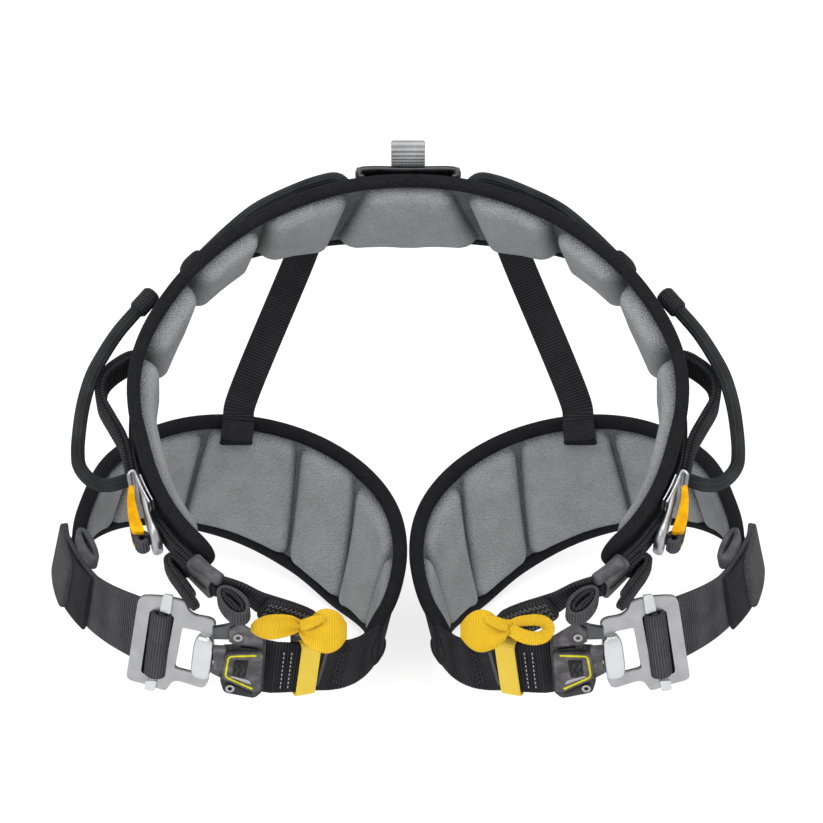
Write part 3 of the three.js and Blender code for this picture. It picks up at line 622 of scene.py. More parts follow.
def grid_piece(name, points, finish, stands_for=(), loop=TUBE, fullness=None):
    """A grid surface of quads; its UV is the mean distance along rows and along columns.

    A direction that loops is joined end to end. A tube open lengthwise gets a flat face at each end.
    """
    rows, columns = points.shape[:2]
    corners, quads = grid_quads(rows, columns, loop)
    closed = np.concatenate([points, points[:1]], 0)
    closed = np.concatenate([closed, closed[:, :1]], 1)
    steps_down = np.linalg.norm(np.diff(closed, axis=0), axis=-1)[:, :columns].mean(1)
    steps_over = np.linalg.norm(np.diff(closed, axis=1), axis=-1)[:rows].mean(0)
    down = np.concatenate([[0], np.cumsum(steps_down)])
    over = np.concatenate([[0], np.cumsum(steps_over)])
    spread = [np.stack([np.stack([down[a], over[b]], -1) for a, b in corners], -2).reshape(-1, 4, 2)]
    faces = [quads]
    if loop == TUBE:
        ring = np.arange(columns)[None]
        faces += [ring, (rows - 1) * columns + ring[:, ::-1]]
        spread += [np.zeros((1, columns, 2)), np.zeros((1, columns, 2))]
    return add_object(name, points.reshape(-1, 3), faces, finish, stands_for, spread, fullness)


def on_both(name, points, place, finish, stands_for=(), loop=TUBE):
    """A grid piece on the left and its mirror image on the right."""
    for side, spots in both_sides(place(points)):
        nodes = [f"{node}_{side}" for node in stands_for]
        grid_piece(f"{name}_{side}", spots, finish, nodes, loop)


def smooth_path(rows, count, closed=False):
    """Curve through rows at even lengths: cubic pieces whose end slopes come from the neighbours' spacing.

    The first three columns are the place; further columns go along with it.
    """
    rows = np.asarray(rows, float)
    if closed:
        rows = np.vstack([rows[-1:], rows, rows[:2]])
    else:
        rows = np.vstack([2 * rows[:1] - rows[1:2], rows, 2 * rows[-1:] - rows[-2:-1]])
    gap = np.sqrt(np.linalg.norm(np.diff(rows[:, :3], axis=0), axis=1))[:, None]
    chord = np.diff(rows, axis=0) / gap
    slope = chord[:-1] - (rows[2:] - rows[:-2]) / (gap[:-1] + gap[1:]) + chord[1:]
    start, end, span = (part[:, None] for part in (rows[1:-2], rows[2:-1], gap[1:-1]))
    t = np.linspace(0, 1, PATH_STEPS, endpoint=False)[None, :, None]
    dense = start * (2 * t**3 - 3 * t**2 + 1) + end * (3 * t**2 - 2 * t**3)
    dense = dense + span * slope[:-1, None] * (t**3 - 2 * t**2 + t) + span * slope[1:, None] * (t**3 - t**2)
    dense = np.vstack([dense.reshape(-1, rows.shape[1]), rows[-2:-1]])
    length = lengths(dense[:, :3])
    stops = np.linspace(0, length[-1], count + closed)[:count]
    return np.stack([np.interp(stops, length, column) for column in dense.T], 1)


def plan_path(rows, count, height=0.0, closed=False):
    """Smooth curve through plan rows of x and y at one height."""
    rows = np.asarray(rows, float)
    return smooth_path(np.column_stack([rows, np.full(len(rows), height)]), count, closed)


def directions(path, closed=False):
    """Unit direction at each point: from the point before it to the point after it."""
    if closed:
        return unit(np.roll(path, -1, 0) - np.roll(path, 1, 0))
    return unit(np.gradient(path, axis=0))


def sweep(path, across, profile, closed=False, ripple=0.0, shear=0.0):
    """A profile carried along a path: x lies across it and leans along it by a shear, y is out of it."""
    run = directions(path, closed)
    normal = unit(np.cross(run, np.broadcast_to(across, path.shape)))
    side = np.cross(normal, run)
    spots = path[:, None] + (side + run * shear)[:, None] * profile[..., :1]
    return spots + normal[:, None] * (profile[..., 1:] + ripple)


def strap_profile(width, thickness):
    """Flat section: two faces joined by half circles. Sizes may change from station to station."""
    half = np.atleast_1d(np.asarray(thickness, float))[:, None] / 2
    reach = np.atleast_1d(np.asarray(width, float))[:, None] / 2 - half
    turn = np.linspace(-90, 90, 6) * DEGREE
    face = np.linspace(-1, 1, 9)[1:-1]
    flat = np.zeros_like(face)
    edge = np.ones_like(turn)
    spread = np.concatenate([face, edge, -face, -edge])
    bow = np.concatenate([flat, np.cos(turn), flat, -np.cos(turn)])
    rise = np.concatenate([flat - 1, np.sin(turn), flat + 1, -np.sin(turn)])
    return np.stack([reach * spread + half * bow, half * rise + 0 * reach], -1)


def tube_profile(radius, flutes, depth, sides):
    """Round section, its radius waved by a depth share as many times as there are flutes."""
    turn = np.arange(sides) * TAU / sides
    girth = np.atleast_1d(np.asarray(radius, float))[:, None] * (1 + depth * np.cos(flutes * turn))
    return np.stack([girth * np.cos(turn), girth * np.sin(turn)], -1)


def end_round(count, length, radius):
    """Share of full size along a length: a quarter circle over the radius at each end, at least 0.1."""
    stops = np.linspace(0, length, count)
    return np.maximum(roll(np.minimum(stops, length - stops), radius), 0.1)


def strap_spots(path, across, along, over, lift):
    """Spots on a strap and the way out: along from its start, over from its middle, lift off its face."""
    run = directions(path)
    out = unit(np.cross(run, np.broadcast_to(across, path.shape)))
    side = np.cross(out, run)
    columns = np.hstack([path, side, out])
    held = np.stack([np.interp(along, lengths(path), column) for column in columns.T], 1)
    out = unit(held[:, 6:])
    return held[:, :3] + held[:, 3:6] * np.asarray(over)[:, None] + out * lift, out


def stitch_piece(name, starts, ends, out, thread, finish):
    """Stitches: each a six-sided spindle from its start to its end, thin at both ends."""
    run = ends - starts
    rise = unit(out - unit(run) * np.sum(out * unit(run), -1, keepdims=True))
    side = np.cross(unit(run), rise)
    share = STITCH_SHARES[None, :, None, None]
    girth = STITCH_GIRTHS[None, :, None, None] * thread / 2
    points_round = np.arange(STITCH_SIDES)
    turn = (points_round * TAU / STITCH_SIDES)[None, None, :, None]
    ring = rise[:, None, None] * np.cos(turn) + side[:, None, None] * np.sin(turn)
    points = starts[:, None, None] + run[:, None, None] * share + ring * girth
    steps = len(STITCH_SHARES) - 1
    _, quad = grid_quads(len(STITCH_SHARES), STITCH_SIDES, TUBE)
    first = (np.arange(len(starts)) * len(STITCH_SHARES) * STITCH_SIDES)[:, None]
    quads = (first[..., None] + quad[None]).reshape(-1, 4)
    near = first + points_round
    far = first + steps * STITCH_SIDES + points_round[::-1]
    add_object(name, points.reshape(-1, 3), [quads, near, far], finish)


def rounded(outline, radius, count=6):
    """Outline with each corner bent: a parabola between the spots a radius before and after it."""
    corner = np.asarray(outline, float)
    before = np.roll(corner, 1, 0) - corner
    after = np.roll(corner, -1, 0) - corner
    near = corner + unit(before) * np.minimum(radius, np.linalg.norm(before, axis=1) / 2.01)[:, None]
    far = corner + unit(after) * np.minimum(radius, np.linalg.norm(after, axis=1) / 2.01)[:, None]
    t = np.linspace(0, 1, count)[None, :, None]
    curve = near[:, None] * (1 - t) ** 2 + corner[:, None] * 2 * t * (1 - t) + far[:, None] * t**2
    return curve.reshape(-1, 2)


def flat_plate(loops, thickness):
    """A flat plate: the area between outlines given a thickness; its third coordinate is the way out."""
    curve = bpy.data.curves.new("outline", "CURVE")
    curve.dimensions = "2D"
    curve.fill_mode = "BOTH"
    curve.extrude = thickness / 2 * MM
    for loop in loops:
        line = curve.splines.new("POLY")
        line.points.add(len(loop) - 1)
        rows = np.column_stack([loop * MM, np.zeros(len(loop)), np.ones(len(loop))])
        line.points.foreach_set("co", rows.ravel())
        line.use_cyclic_u = True
    holder = link_object("outline", curve)
    bpy.context.view_layer.update()
    mesh = bpy.data.meshes.new_from_object(holder.evaluated_get(bpy.context.evaluated_depsgraph_get()))
    work = bmesh.new()
    work.from_mesh(mesh)
    bmesh.ops.remove_doubles(work, verts=work.verts, dist=SAME_POINT * MM)
    bmesh.ops.recalc_face_normals(work, faces=work.faces)
    bmesh.ops.triangulate(work, faces=work.faces)
    work.to_mesh(mesh)
    work.free()
    vertices = np.empty(len(mesh.vertices) * 3)
    mesh.vertices.foreach_get("co", vertices)
    corners = np.empty(len(mesh.polygons) * 3, int)
    mesh.polygons.foreach_get("vertices", corners)
    bpy.data.objects.remove(holder)
    bpy.data.curves.remove(curve)
    bpy.data.meshes.remove(mesh)
    return vertices.reshape(-1, 3) / MM, corners.reshape(-1, 3)


def leg_spot(angle, lift, turn, offset):
    """A spot on the leg's wall with its directions along, up and out, turned in the wall by degrees."""
    spot, along, out, up = leg.axes(angle, leg.middle(angle) + lift, offset)
    return spot, *spin(along, up, turn), out


def at_spot(spot, points):
    """Points of x along, z up and y out of a spot, in the leg's band."""
    origin, along, up, out = spot
    points = np.asarray(points, float)
    return origin + points[..., :1] * along + points[..., 1:2] * up + points[..., 2:] * out


def plate_on_both(name, loops, thickness, level, bevel, place, finish, stands_for=()):
    """A flat plate on both sides, its edges rounded by a bevel, its middle at a level along its way out."""
    vertices, faces = flat_plate(loops, thickness)
    for side, placed in both_sides(place(vertices + (0, 0, level))):
        nodes = [f"{node}_{side}" for node in stands_for]
        piece = add_object(f"{name}_{side}", placed, [faces], finish, nodes)
        edge = piece.modifiers.new("rounded edge", "BEVEL")
        edge.width = bevel * MM
        edge.segments = 3
        edge.limit_method = "ANGLE"
        edge.angle_limit = BEVEL_ANGLE * DEGREE
        edge.harden_normals = True


def block(half_sizes, power):
    """Rounded block: a sphere's sines and cosines, signs kept, to a power below one, times half sizes."""
    rise = np.linspace(-88, 88, 29)[:, None] * DEGREE
    turn = (np.arange(56) * TAU / 56)[None]
    girth = soft_power(np.cos(rise), power)
    x = girth * soft_power(np.cos(turn), power)
    y = girth * soft_power(np.sin(turn), power)
    return np.stack([x, y, soft_power(np.sin(rise), power) + 0 * turn], -1) * half_sizes


def ribs(path, pitch, depth):
    """Extra thickness at a strap's stations: a cosine of the length so far, from 0 to the depth."""
    return depth * (0.5 + 0.5 * np.cos(lengths(path) * TAU / pitch))


# Padded bands.
def groove_slant(band, angle):
    """Turn of the columns toward the top: each groove's slant, fading with distance from it."""
    return sum(row[1] * np.clip(1 - np.abs(angle - row[0]) / SLANT_REACH, 0, 1) for row in band.grooves)


def band_columns(band, columns, inset):
    """Angle, middle and half height of columns, with four more round each tip on its half ellipse."""
    turns = np.array([22.5, 45, 67.5, 84]) * DEGREE
    reach = (band.tip - inset) * np.sin(turns)
    before = band.first - reach[::-1] / band.spacing(band.first)
    after = band.last + reach / band.spacing(band.last)
    angle = np.concatenate([before, columns, after])
    shrink = np.concatenate([np.cos(turns)[::-1], np.ones(len(columns)), np.cos(turns)])
    held = np.clip(angle, band.first, band.last)
    return angle, band.middle(held), (band.half(held) - inset) * shrink


def liner_columns(band):
    """Column angles: close together beside each groove and at both ends, and about 7 mm apart between."""
    near = np.array([0, 0.5, 1.4, 3, 5.5, 9])
    ends = np.array([0, 1.5, 3.5, 6, 9.5])
    stops = [band.first + ends / band.spacing(band.first), band.last - ends / band.spacing(band.last)]
    for angle, slant, low, high in band.grooves:
        edge = (low + high) / 2
        out = np.concatenate([[0, edge / 2], edge + near]) / band.spacing(angle)
        stops += [angle + out, angle - out[1:]]
    stops = np.sort(np.concatenate(stops))
    counts = np.maximum(np.round(np.diff(stops) * band.spacing(stops[:-1]) / COLUMN_STEP), 1).astype(int)
    gaps = [np.linspace(a, b, n, endpoint=False) for a, b, n in zip(stops, stops[1:], counts)]
    return np.append(np.concatenate(gaps), band.last)


def liner_points(band, base, lifts, corner):
    """Closed rings of the liner and how full each point is.

    The front stands off the shell by a base and by a lift times a quarter-circle rise from the panel's edge.
    That distance is taken to a rectangle with round corners between two grooves and the top and bottom edges.
    The lift is read from rows of angle and lift. The back is flat on the shell.
    """
    angle, middle, half = band_columns(band, liner_columns(band), BINDING_WIDTH - 1)
    middle = middle[:, None]
    half = half[:, None]
    share = np.linspace(-1, 1, 27)
    rows = np.sign(share) * (1 - (1 - np.abs(share)) ** 1.4)
    back = -SHELL_HALF - LINER_GAP
    back_rows = np.linspace(1, -1, 5)
    slant = groove_slant(band, angle)[:, None]
    spacing = band.spacing(angle)[:, None]
    grooves = np.array(band.grooves)
    centre, _, low, high = grooves[np.argmin(np.abs(angle[:, None] - grooves[:, 0]), 1)].T[..., None]
    away = (angle[:, None] - centre) * spacing
    edge = (low + high) / 2
    opening = low + (high - low) * (rows + 1) / 2
    reach = np.abs(away)
    drawn = (opening - edge) * np.clip(reach / edge, 0, 1) * np.clip(1 - (reach - edge) / BEND_REACH, 0, 1)
    ends = np.minimum(angle - band.first, band.last - angle)[:, None] * spacing
    beside = np.clip(np.minimum(reach + drawn - opening, ends), 0, corner)
    above = np.clip((1 - np.abs(rows)) * half, 0, corner)
    inside = np.clip(corner - np.hypot(corner - beside, corner - above), 0, corner)
    full = roll(inside, corner)
    lift = np.interp(np.abs(angle), *np.array(lifts).T)[:, None]
    turned = angle[:, None] + slant * rows + np.sign(away) * drawn / spacing
    front = band.point(turned, middle + half * rows, back - base - lift * full)
    turned = angle[:, None] + slant * back_rows
    behind = band.point(turned, middle + half * back_rows, back)
    fullness = np.hstack([full, np.zeros((len(angle), len(back_rows)))])
    return np.concatenate([front, behind], 1), fullness


# Cloth simulation of the liners: frames, pressure, stiffness along the cloth and against bending.
PUFF_FRAMES = 20
PUFF_PRESSURE = 4
PUFF_STIFFNESS = 25
PUFF_BENDING = 2
# Points less full than this are held, and no point moves further than the cap in millimetres.
PUFF_HELD = 0.5
PUFF_CAP = 2.5


def puff(points, fullness):
    """The liner's points after a short cloth simulation under pressure, its seams held."""
    _, quads = grid_quads(*points.shape[:2], TUBE)
    mesh = bpy.data.meshes.new("filling")
    mesh.from_pydata((points.reshape(-1, 3) * MM).tolist(), [], quads.tolist())
    work = link_object("filling", mesh)
    held = work.vertex_groups.new(name="held")
    held.add(np.flatnonzero(fullness.ravel() < PUFF_HELD).tolist(), 1.0, "REPLACE")
    cloth = work.modifiers.new("filling", "CLOTH")
    settings = cloth.settings
    settings.use_pressure = True
    settings.uniform_pressure_force = PUFF_PRESSURE
    settings.effector_weights.gravity = 0
    settings.vertex_group_mass = "held"
    settings.tension_stiffness = PUFF_STIFFNESS
    settings.compression_stiffness = PUFF_STIFFNESS
    settings.bending_stiffness = PUFF_BENDING
    cloth.collision_settings.use_collision = False
    cloth.point_cache.frame_start = 1
    cloth.point_cache.frame_end = PUFF_FRAMES
    for number in range(1, PUFF_FRAMES + 1):
        bpy.context.scene.frame_set(number)
    shape = work.evaluated_get(bpy.context.evaluated_depsgraph_get()).to_mesh()
    moved = np.empty(points.size)
    shape.vertices.foreach_get("co", moved)
    bpy.data.objects.remove(work)
    bpy.data.meshes.remove(mesh)
    bpy.context.scene.frame_set(1)
    shift = moved.reshape(points.shape) / MM - points
    size = np.linalg.norm(shift, axis=-1, keepdims=True)
    return points + shift * np.minimum(1, PUFF_CAP / np.maximum(size, 1e-6))


def finer(grid):
    """Twice the columns and ring points: new ones half way between neighbours."""
    around = np.stack([grid, (grid + np.roll(grid, -1, 1)) / 2], 2)
    around = around.reshape(grid.shape[0], -1, *grid.shape[2:])
    made = np.empty((2 * len(around) - 1, *around.shape[1:]))
    made[::2] = around
    made[1::2] = (around[1:] + around[:-1]) / 2
    return made


def crumple(points, fullness, depth):
    """Short ripples pressed into the full panels: a sine of the height, bent by sines along the band."""
    x, y, height = np.moveaxis(points, -1, 0)
    along = np.arctan2(x, y) * 150
    bend = 1.6 * np.sin(along * TAU / 23) + 1.1 * np.sin(along * TAU / 9.5 + height * 0.31)
    patch = 0.5 + 0.5 * np.sin(along * TAU / 37 + height * TAU / 29)
    ripple = depth * fullness * patch * np.sin(height * TAU / 5.4 + bend)
    inward = np.stack([-x, -y, 0 * x], -1)
    return points + unit(inward) * ripple[..., None]


def shell_points(band):
    """Closed rings of the shell: eleven points up its outer face and five down its inner face."""
    count = int((band.last - band.first) / 1.6)
    columns = np.linspace(band.first, band.last, count)
    angle, middle, half = (part[:, None] for part in band_columns(band, columns, 1))
    outer = np.linspace(-1, 1, 11)
    inner = np.linspace(1, -1, 5)
    offsets = np.repeat((SHELL_HALF, -SHELL_HALF), (len(outer), len(inner)))
    return band.point(angle, middle + half * np.concatenate([outer, inner]), offsets)


def binding_points(band, width, inside):
    """A plump tape section carried once round the band's edge: top, far tip, bottom and near tip.

    The section is an ellipse squared off by a power below one, set in from the edge.
    """
    columns = np.linspace(band.first, band.last, int((band.last - band.first) / 1.5))
    turns = np.linspace(0, 180, 20)[1:-1] * DEGREE
    reach = band.tip * np.sin(turns)
    far_angle = band.last + reach / band.spacing(band.last)
    near_angle = band.first - reach / band.spacing(band.first)
    far_height = band.middle(band.last) + band.half(band.last) * np.cos(turns)
    near_height = band.middle(band.first) + band.half(band.first) * np.cos(turns)
    angle = np.concatenate([columns, far_angle, columns[::-1], near_angle[::-1]])
    top = band.value(1, columns)
    bottom = band.value(2, columns)
    height = np.concatenate([top, far_height, bottom[::-1], near_height[::-1]])
    path = band.point(angle, height, 0)
    run = directions(path, True)
    edge = unit(np.cross(run, band.point(angle, height, 1) - path))
    out = np.cross(edge, run)
    turn = np.arange(22) * TAU / 22
    inward = (0.5 - width / 2) + width / 2 * soft_power(np.cos(turn), 0.75)
    through = (BINDING_OUT - inside) / 2 * soft_power(np.sin(turn), 0.75) + (BINDING_OUT + inside) / 2
    return path[:, None] + edge[:, None] * inward[:, None] + out[:, None] * through[:, None]


def pad_piece(name, points, fullness, node):
    """A liner piece in the padding finish, divided once more."""
    piece = grid_piece(name, points, PADDING, [node], TUBE, fullness)
    smooth = piece.modifiers.new("soft", "SUBSURF")
    smooth.levels = 1
    smooth.render_levels = 1


def liner_grid(band, base, lifts, corner):
    """A liner's points and fullness: puffed out, then made finer and crumpled."""
    points, full = liner_points(band, base, lifts, corner)
    points = puff(points, full)
    full = finer(full)
    return crumple(finer(points), full, 0.2), full


# Liners: rows of angle and lift.
BELT_LIFTS = ((0, 12), (26, 12.5), (42, 16.5), (66, 17), (84, 12.5), (128, 10))
LEG_LIFTS = ((0, 7), (114, 7))
belt_liner, belt_full = liner_grid(belt, 1.4, BELT_LIFTS, 11)
leg_liner, leg_full = liner_grid(leg, 1.8, LEG_LIFTS, 9)
pad_piece("belt_liner", on_belt(belt_liner), belt_full, "belt_padding")
grid_piece("belt_outer", on_belt(shell_points(belt)), SHELL, ["belt_shell"])
belt_edge = on_belt(binding_points(belt, BINDING_WIDTH, -5.6))
grid_piece("belt_edge", belt_edge, BINDING, ["belt_binding"], RING)
for side, spots in both_sides(on_leg(leg_liner)):
    pad_piece(f"leg_liner_{side}", spots, leg_full, f"leg_padding_{side}")
on_both("leg_outer", shell_points(leg), on_leg, SHELL, ["leg_shell"])
leg_edge = binding_points(leg, BINDING_WIDTH + 1, -6.6)
on_both("leg_edge", leg_edge, on_leg, BINDING, ["leg_binding"], RING)


# Back plate and its webbing loop, on the middle of the belt's back.
def back_spots(height, offset, points):
    """Points of x across, y out and z up from a spot on the middle of the back, in the harness frame."""
    spot, along, out, up = belt.axes(0.0, height, offset)
    points = np.asarray(points, float)
    return on_belt(spot + points[..., :1] * along + points[..., 1:2] * out + points[..., 2:] * up)


HALF_BRACKET = ((32, -5.4), (33.6, -7), (33, -9.6), (30, -10.5))
BRACKET = [(-x, y) for x, y in HALF_BRACKET[::-1]] + [(0, -5), *HALF_BRACKET]
# Height and offset of the plate and of the loop, and where the plate's lips are.
PLATE_SPOT = (27, 15)
LOOP_SPOT = (51, 20.6)
LIP_SPOTS = ((-33.2, -6.6, 0), (33.2, -6.6, 0))


def back_plate_points():
    """A flat bar on edge along a shallow bracket: across the back, with both ends turned in to the belt."""
    path = plan_path(BRACKET, 80)
    return sweep(path, UPRIGHT, strap_profile(50.0, 4.6 * (0.6 + 0.4 * end_round(80, 80, 3))))


def back_loop_points():
    """Webbing carried round an upright oval, flat across the back, ribbed across its run."""
    turn = np.arange(160) * TAU / 160
    oval = np.stack([0 * turn, 6.2 * np.cos(turn), 15 * np.sin(turn)], -1)
    return sweep(oval, ACROSS, strap_profile(23.0, 2.2 + ribs(oval, 3.35, 0.9)), True)


back_bracket = back_spots(*PLATE_SPOT, back_plate_points())
grid_piece("back_bracket", back_bracket, PLATE_BLACK, ["back_plate"])
for row, spot in enumerate(LIP_SPOTS):
    lip = back_spots(*PLATE_SPOT, block((2.4, 3.8, 25.4), 0.45) + spot)
    grid_piece(f"back_lip_{row}", lip, KEEPER_GREY)
back_loop = back_spots(*LOOP_SPOT, back_loop_points())
grid_piece("back_webbing", back_loop, GREY_WEBBING, ["back_loop"], RING)


# Side and rear gear loops.
def gear_loop_points(path, radius, flutes):
    """A fluted tube bent along a path, its section kept upright."""
    return sweep(path, UPRIGHT, tube_profile(radius, flutes, 0.08, 48))


ROLL_COUNT = 30


def roll_points(start, end, radius, flutes=0):
    """A roll between two spots, rounded at its ends."""
    path = np.linspace(start, end, ROLL_COUNT)
    girth = radius * (0.4 + 0.6 * end_round(ROLL_COUNT, math.dist(start, end), 3))
    return sweep(path, (0.3, 0.2, 1), tube_profile(girth, flutes, 0.03, 30))


rear_rows = np.array(REAR_LOOP)
rear_path = smooth_path(belt.point(rear_rows[:, 0], rear_rows[:, 2], rear_rows[:, 1]), 70)
side_tube = gear_loop_points(smooth_path(SIDE_LOOP, 110), 4.4, 11)
side_roll = roll_points(*((x, y, 20) for x, y in SIDE_LOOP_ROLL), 6.3, 10)
rear_tube = gear_loop_points(rear_path, 3.6, 9)
on_both("side_gear_tube", side_tube, on_belt, SHEATH, ["side_gear_loop"])
on_both("side_gear_roll", side_roll, on_belt, WEBBING)
on_both("rear_gear_tube", rear_tube, on_belt, SHEATH, ["rear_gear_loop"])

tab_spot, *tab_ways = belt.axes(-48.5, 18.0, 5.0)
loop_tab = tab_spot + block((8.6, 4.8, 11), 0.6) @ np.stack(tab_ways)
on_both("rear_gear_tab", loop_tab, on_belt, WEBBING)


# Side strap, adjuster and waist strap.
def edge_strap(rows, count, width, thickness, height=0.0, closed=False, shift=0.0):
    """Ribbed webbing on edge along a plan curve, moved sideways by a shift."""
    path = plan_path(rows, count, height, closed)
    path = path + shift * unit(np.cross(directions(path, closed), UPRIGHT))
    profile = strap_profile(width, thickness + ribs(path, BLACK_RIB, 0.35))
    return sweep(path, UPRIGHT, profile, closed)


def two_layers(name, rows, count, width, thickness, node):
    """Two layers of webbing on edge side by side, on both sides of the belt."""
    ends = 0.35 + 0.65 * end_round(count, 60, 8)
    for layer, shift in enumerate((-0.25, 0.25)):
        strap = edge_strap(rows, count, (width - layer) * ends, thickness / 2 - 0.1, shift=shift * thickness)
        on_both(f"{name}_{layer}", strap, on_belt, WEBBING, [node][layer:])


def oval_rows(x, y, half_length, half_depth, turn):
    """Plan rows of an oval turned by degrees, drawn in toward its first end."""
    spots = np.arange(24) * TAU / 24
    along = half_length * np.cos(spots)
    out = half_depth * np.sin(spots) * (1 + 0.12 * np.cos(spots))
    return np.stack(spin(along, out, turn), -1) + (x, y)


def turned_plan(points, x, y, turn):
    """Points turned in plan by degrees and moved to a spot."""
    a, b, c = np.moveaxis(points, -1, 0)
    return np.stack([*spin(a, b, turn), c], -1) + (x, y, 0)


def arc_path(x, y, radius, first, last, count):
    """Arc of a circle in plan, from a first angle to a last one."""
    turn = np.linspace(first, last, count) * DEGREE
    return np.stack([x + radius * np.cos(turn), y + radius * np.sin(turn), 0 * turn], -1)


# Adjuster's bar: rows of the share of its length with its width and with its thickness.
BAR_COUNT = 70
BAR_WIDTHS = ((0, 24), (0.2, 27), (0.6, 30), (1, 34))
BAR_DEPTHS = ((0, 2.6), (0.2, 3.8), (0.7, 4), (0.86, 6.4), (0.96, 7), (1, 4))


def adjuster_points():
    """A flat bar on edge with its own width and thickness along it, its last part drawn in as an ellipse."""
    share = np.linspace(0, 1, BAR_COUNT)
    tip = np.sqrt(1 - 0.96 * np.clip((share - 0.78) / 0.22, 0, 1) ** 2)
    width = np.interp(share, *np.array(BAR_WIDTHS).T) * tip
    depth = np.interp(share, *np.array(BAR_DEPTHS).T)
    return sweep(plan_path(ADJUSTER, BAR_COUNT), UPRIGHT, strap_profile(width, depth))


two_layers("side_webbing", SIDE_STRAP, 330, 25, 6.8, "side_strap")
on_both("adjuster_bar", adjuster_points(), on_belt, SILVER, ["adjuster_frame"])
# The fork's prongs are in the lighter metal: painted highlight.
fork_angle = -np.linspace(106, 114.5, 40)
for row, offset in enumerate((4.4, 7)):
    prong = sweep(belt.point(fork_angle, 10.0, offset), UPRIGHT, strap_profile(14, 1.3))
    on_both(f"adjuster_prong_{row}", prong, on_belt, HIGHLIT_METAL)
cheek = [rounded(LEVER_OUTLINE, 3)]
plate_on_both("amber_cheek_top", cheek, 4.6, 9.7, 1.2, on_belt, AMBER, ["adjuster_lever"])
plate_on_both("amber_cheek_low", cheek, 4.6, -9.7, 1.2, on_belt, AMBER)
plate_on_both("lever_webbing", cheek, 15, 0, 1.6, on_belt, WEBBING)
roll_wrap = arc_path(*STRAP_ROLL, 3.6, 20, 340, 120)
adjuster_roll = sweep(roll_wrap, UPRIGHT, strap_profile(17.0, 3 + ribs(roll_wrap, 1.9, 0.6)))
on_both("adjuster_webbing", adjuster_roll, on_belt, OUTER_WEBBING, ["strap_roll"])
two_layers("waist_webbing", WAIST_STRAP, 220, 18, 6, "waist_strap")
two_layers("waist_end", WAIST_TAIL, 200, 16, 4.8, "waist_tail")
# Painted shade: a near-black strip in the gap inside the folded tail, where there is only shadow.
TAIL_SHADE_FILL = ((-154.4, -93.6), (-149.8, -100.4), (-143.8, -109.4), (-140.4, -114.6))
tail_shade_fill = edge_strap(TAIL_SHADE_FILL, 60, 9, 4, -3.6)
on_both("waist_end_shade_fill", tail_shade_fill, on_belt, BLACK_AND_SHADE)
# Painted shade: a near-black core inside the front loop's hole, where there is only shadow.
LOOP_SHADE_FILL = ((-119.8, -118.2), (-113.8, -124.5), (-107.8, -130.8))
loop_shade_fill = edge_strap(LOOP_SHADE_FILL, 40, 14, 4.4)
on_both("front_shade_fill", loop_shade_fill, on_belt, BLACK_AND_SHADE)
loop_outer = edge_strap(oval_rows(**FRONT_LOOP, half_length=12, half_depth=6.6), 200, 17, 2.8, 2, True)
on_both("front_webbing", loop_outer, on_belt, OUTER_WEBBING, ["front_loop"], RING)
loop_inner = edge_strap(oval_rows(**FRONT_LOOP, half_length=8.6, half_depth=3.1), 160, 16, 2.4, 2.4, True)
on_both("front_lining", loop_inner, on_belt, WEBBING, [], RING)


# Keepers.
def sleeve_points(length, depth, height, wall):
    """A flat wall section carried round a rounded rectangle."""
    half = np.array([depth + wall, height + wall]) / 2
    corner = np.array([(-1, -1), (1, -1), (1, 1), (-1, 1)]) * half
    ring = rounded(corner, min(half) * 0.9, 9)
    path = smooth_path(np.column_stack([np.zeros(len(ring)), ring]), 84, True)
    return sweep(path, ACROSS, strap_profile(length, wall), True)


waist_sleeve = turned_plan(sleeve_points(22, 7.2, 19.4, 2.8), -133.5, -102.8, -47.1)
on_both("waist_sleeve", waist_sleeve, on_belt, KEEPER_GREY, ["waist_keeper"], RING)
sleeve_bar = roll_points((-140.5, -97, 11.5), (-121, -112, 11.5), 4.4)
on_both("waist_sleeve_bar", sleeve_bar, on_belt, KEEPER_GREY)
# Painted shade: a thin near-black roll under the keeper's bar, standing in for the shadow of its slit.
sleeve_slit_shade = roll_points((-145, -99.8, 6), (-131.4, -114.4, 6), 1.3)
on_both("waist_sleeve_slit_shade", sleeve_slit_shade, on_belt, BLACK_AND_SHADE)
keeper_spot = leg_spot(249.5, 27, 0, -4.6)
keeper_oval = plan_path(oval_rows(0, 0, 14.6, 3.4, 0), 90, 0, True)
leg_sleeve = sweep(keeper_oval, UPRIGHT, strap_profile(11, 4.2), True)[..., [0, 2, 1]]
leg_sleeve = at_spot(keeper_spot, leg_sleeve)
on_both("leg_sleeve", leg_sleeve, on_leg, KEEPER_GREY, ["leg_keeper"], RING)


# Leg straps.
def leg_line(first, last, count, offsets):
    """Middle line along the leg's wall at offsets given from end to end, and the way up the wall."""
    angle = np.linspace(first, last, count)
    offset = np.interp(np.linspace(0, 1, count), np.linspace(0, 1, len(offsets)), offsets)
    path = leg.point(angle, leg.middle(angle), offset)
    return path, leg.point(angle, leg.middle(angle) + 1, offset) - path


# Straps of the leg loop: stations, width, the inner strap's end angles and how far it leans along itself.
STRAP_COUNT = 520
STRAP_WIDTH = 45
INNER_ENDS = (114, 172)
INNER_LEAN = 0.15
INNER_OFFSETS = (0.8, 1.4, 1.2, 0, 0, 0, 0, -3)
OUTER_OFFSETS = (-1, 0, 0, 0, 0, 0, 0, 0, 1.5, 3.8, 4.4)
inner_path, inner_up = leg_line(*INNER_ENDS, STRAP_COUNT, INNER_OFFSETS)
inner_width = np.interp(np.arange(STRAP_COUNT), (0, 120), (36, STRAP_WIDTH))
inner_profile = strap_profile(inner_width, 3.4 + ribs(inner_path, BOLD_RIB, 0.9))
inner_strap = sweep(inner_path, inner_up, inner_profile, shear=INNER_LEAN)
on_both("inner_webbing", inner_strap, on_leg, BOLD_WEBBING, ["leg_strap_inner"])


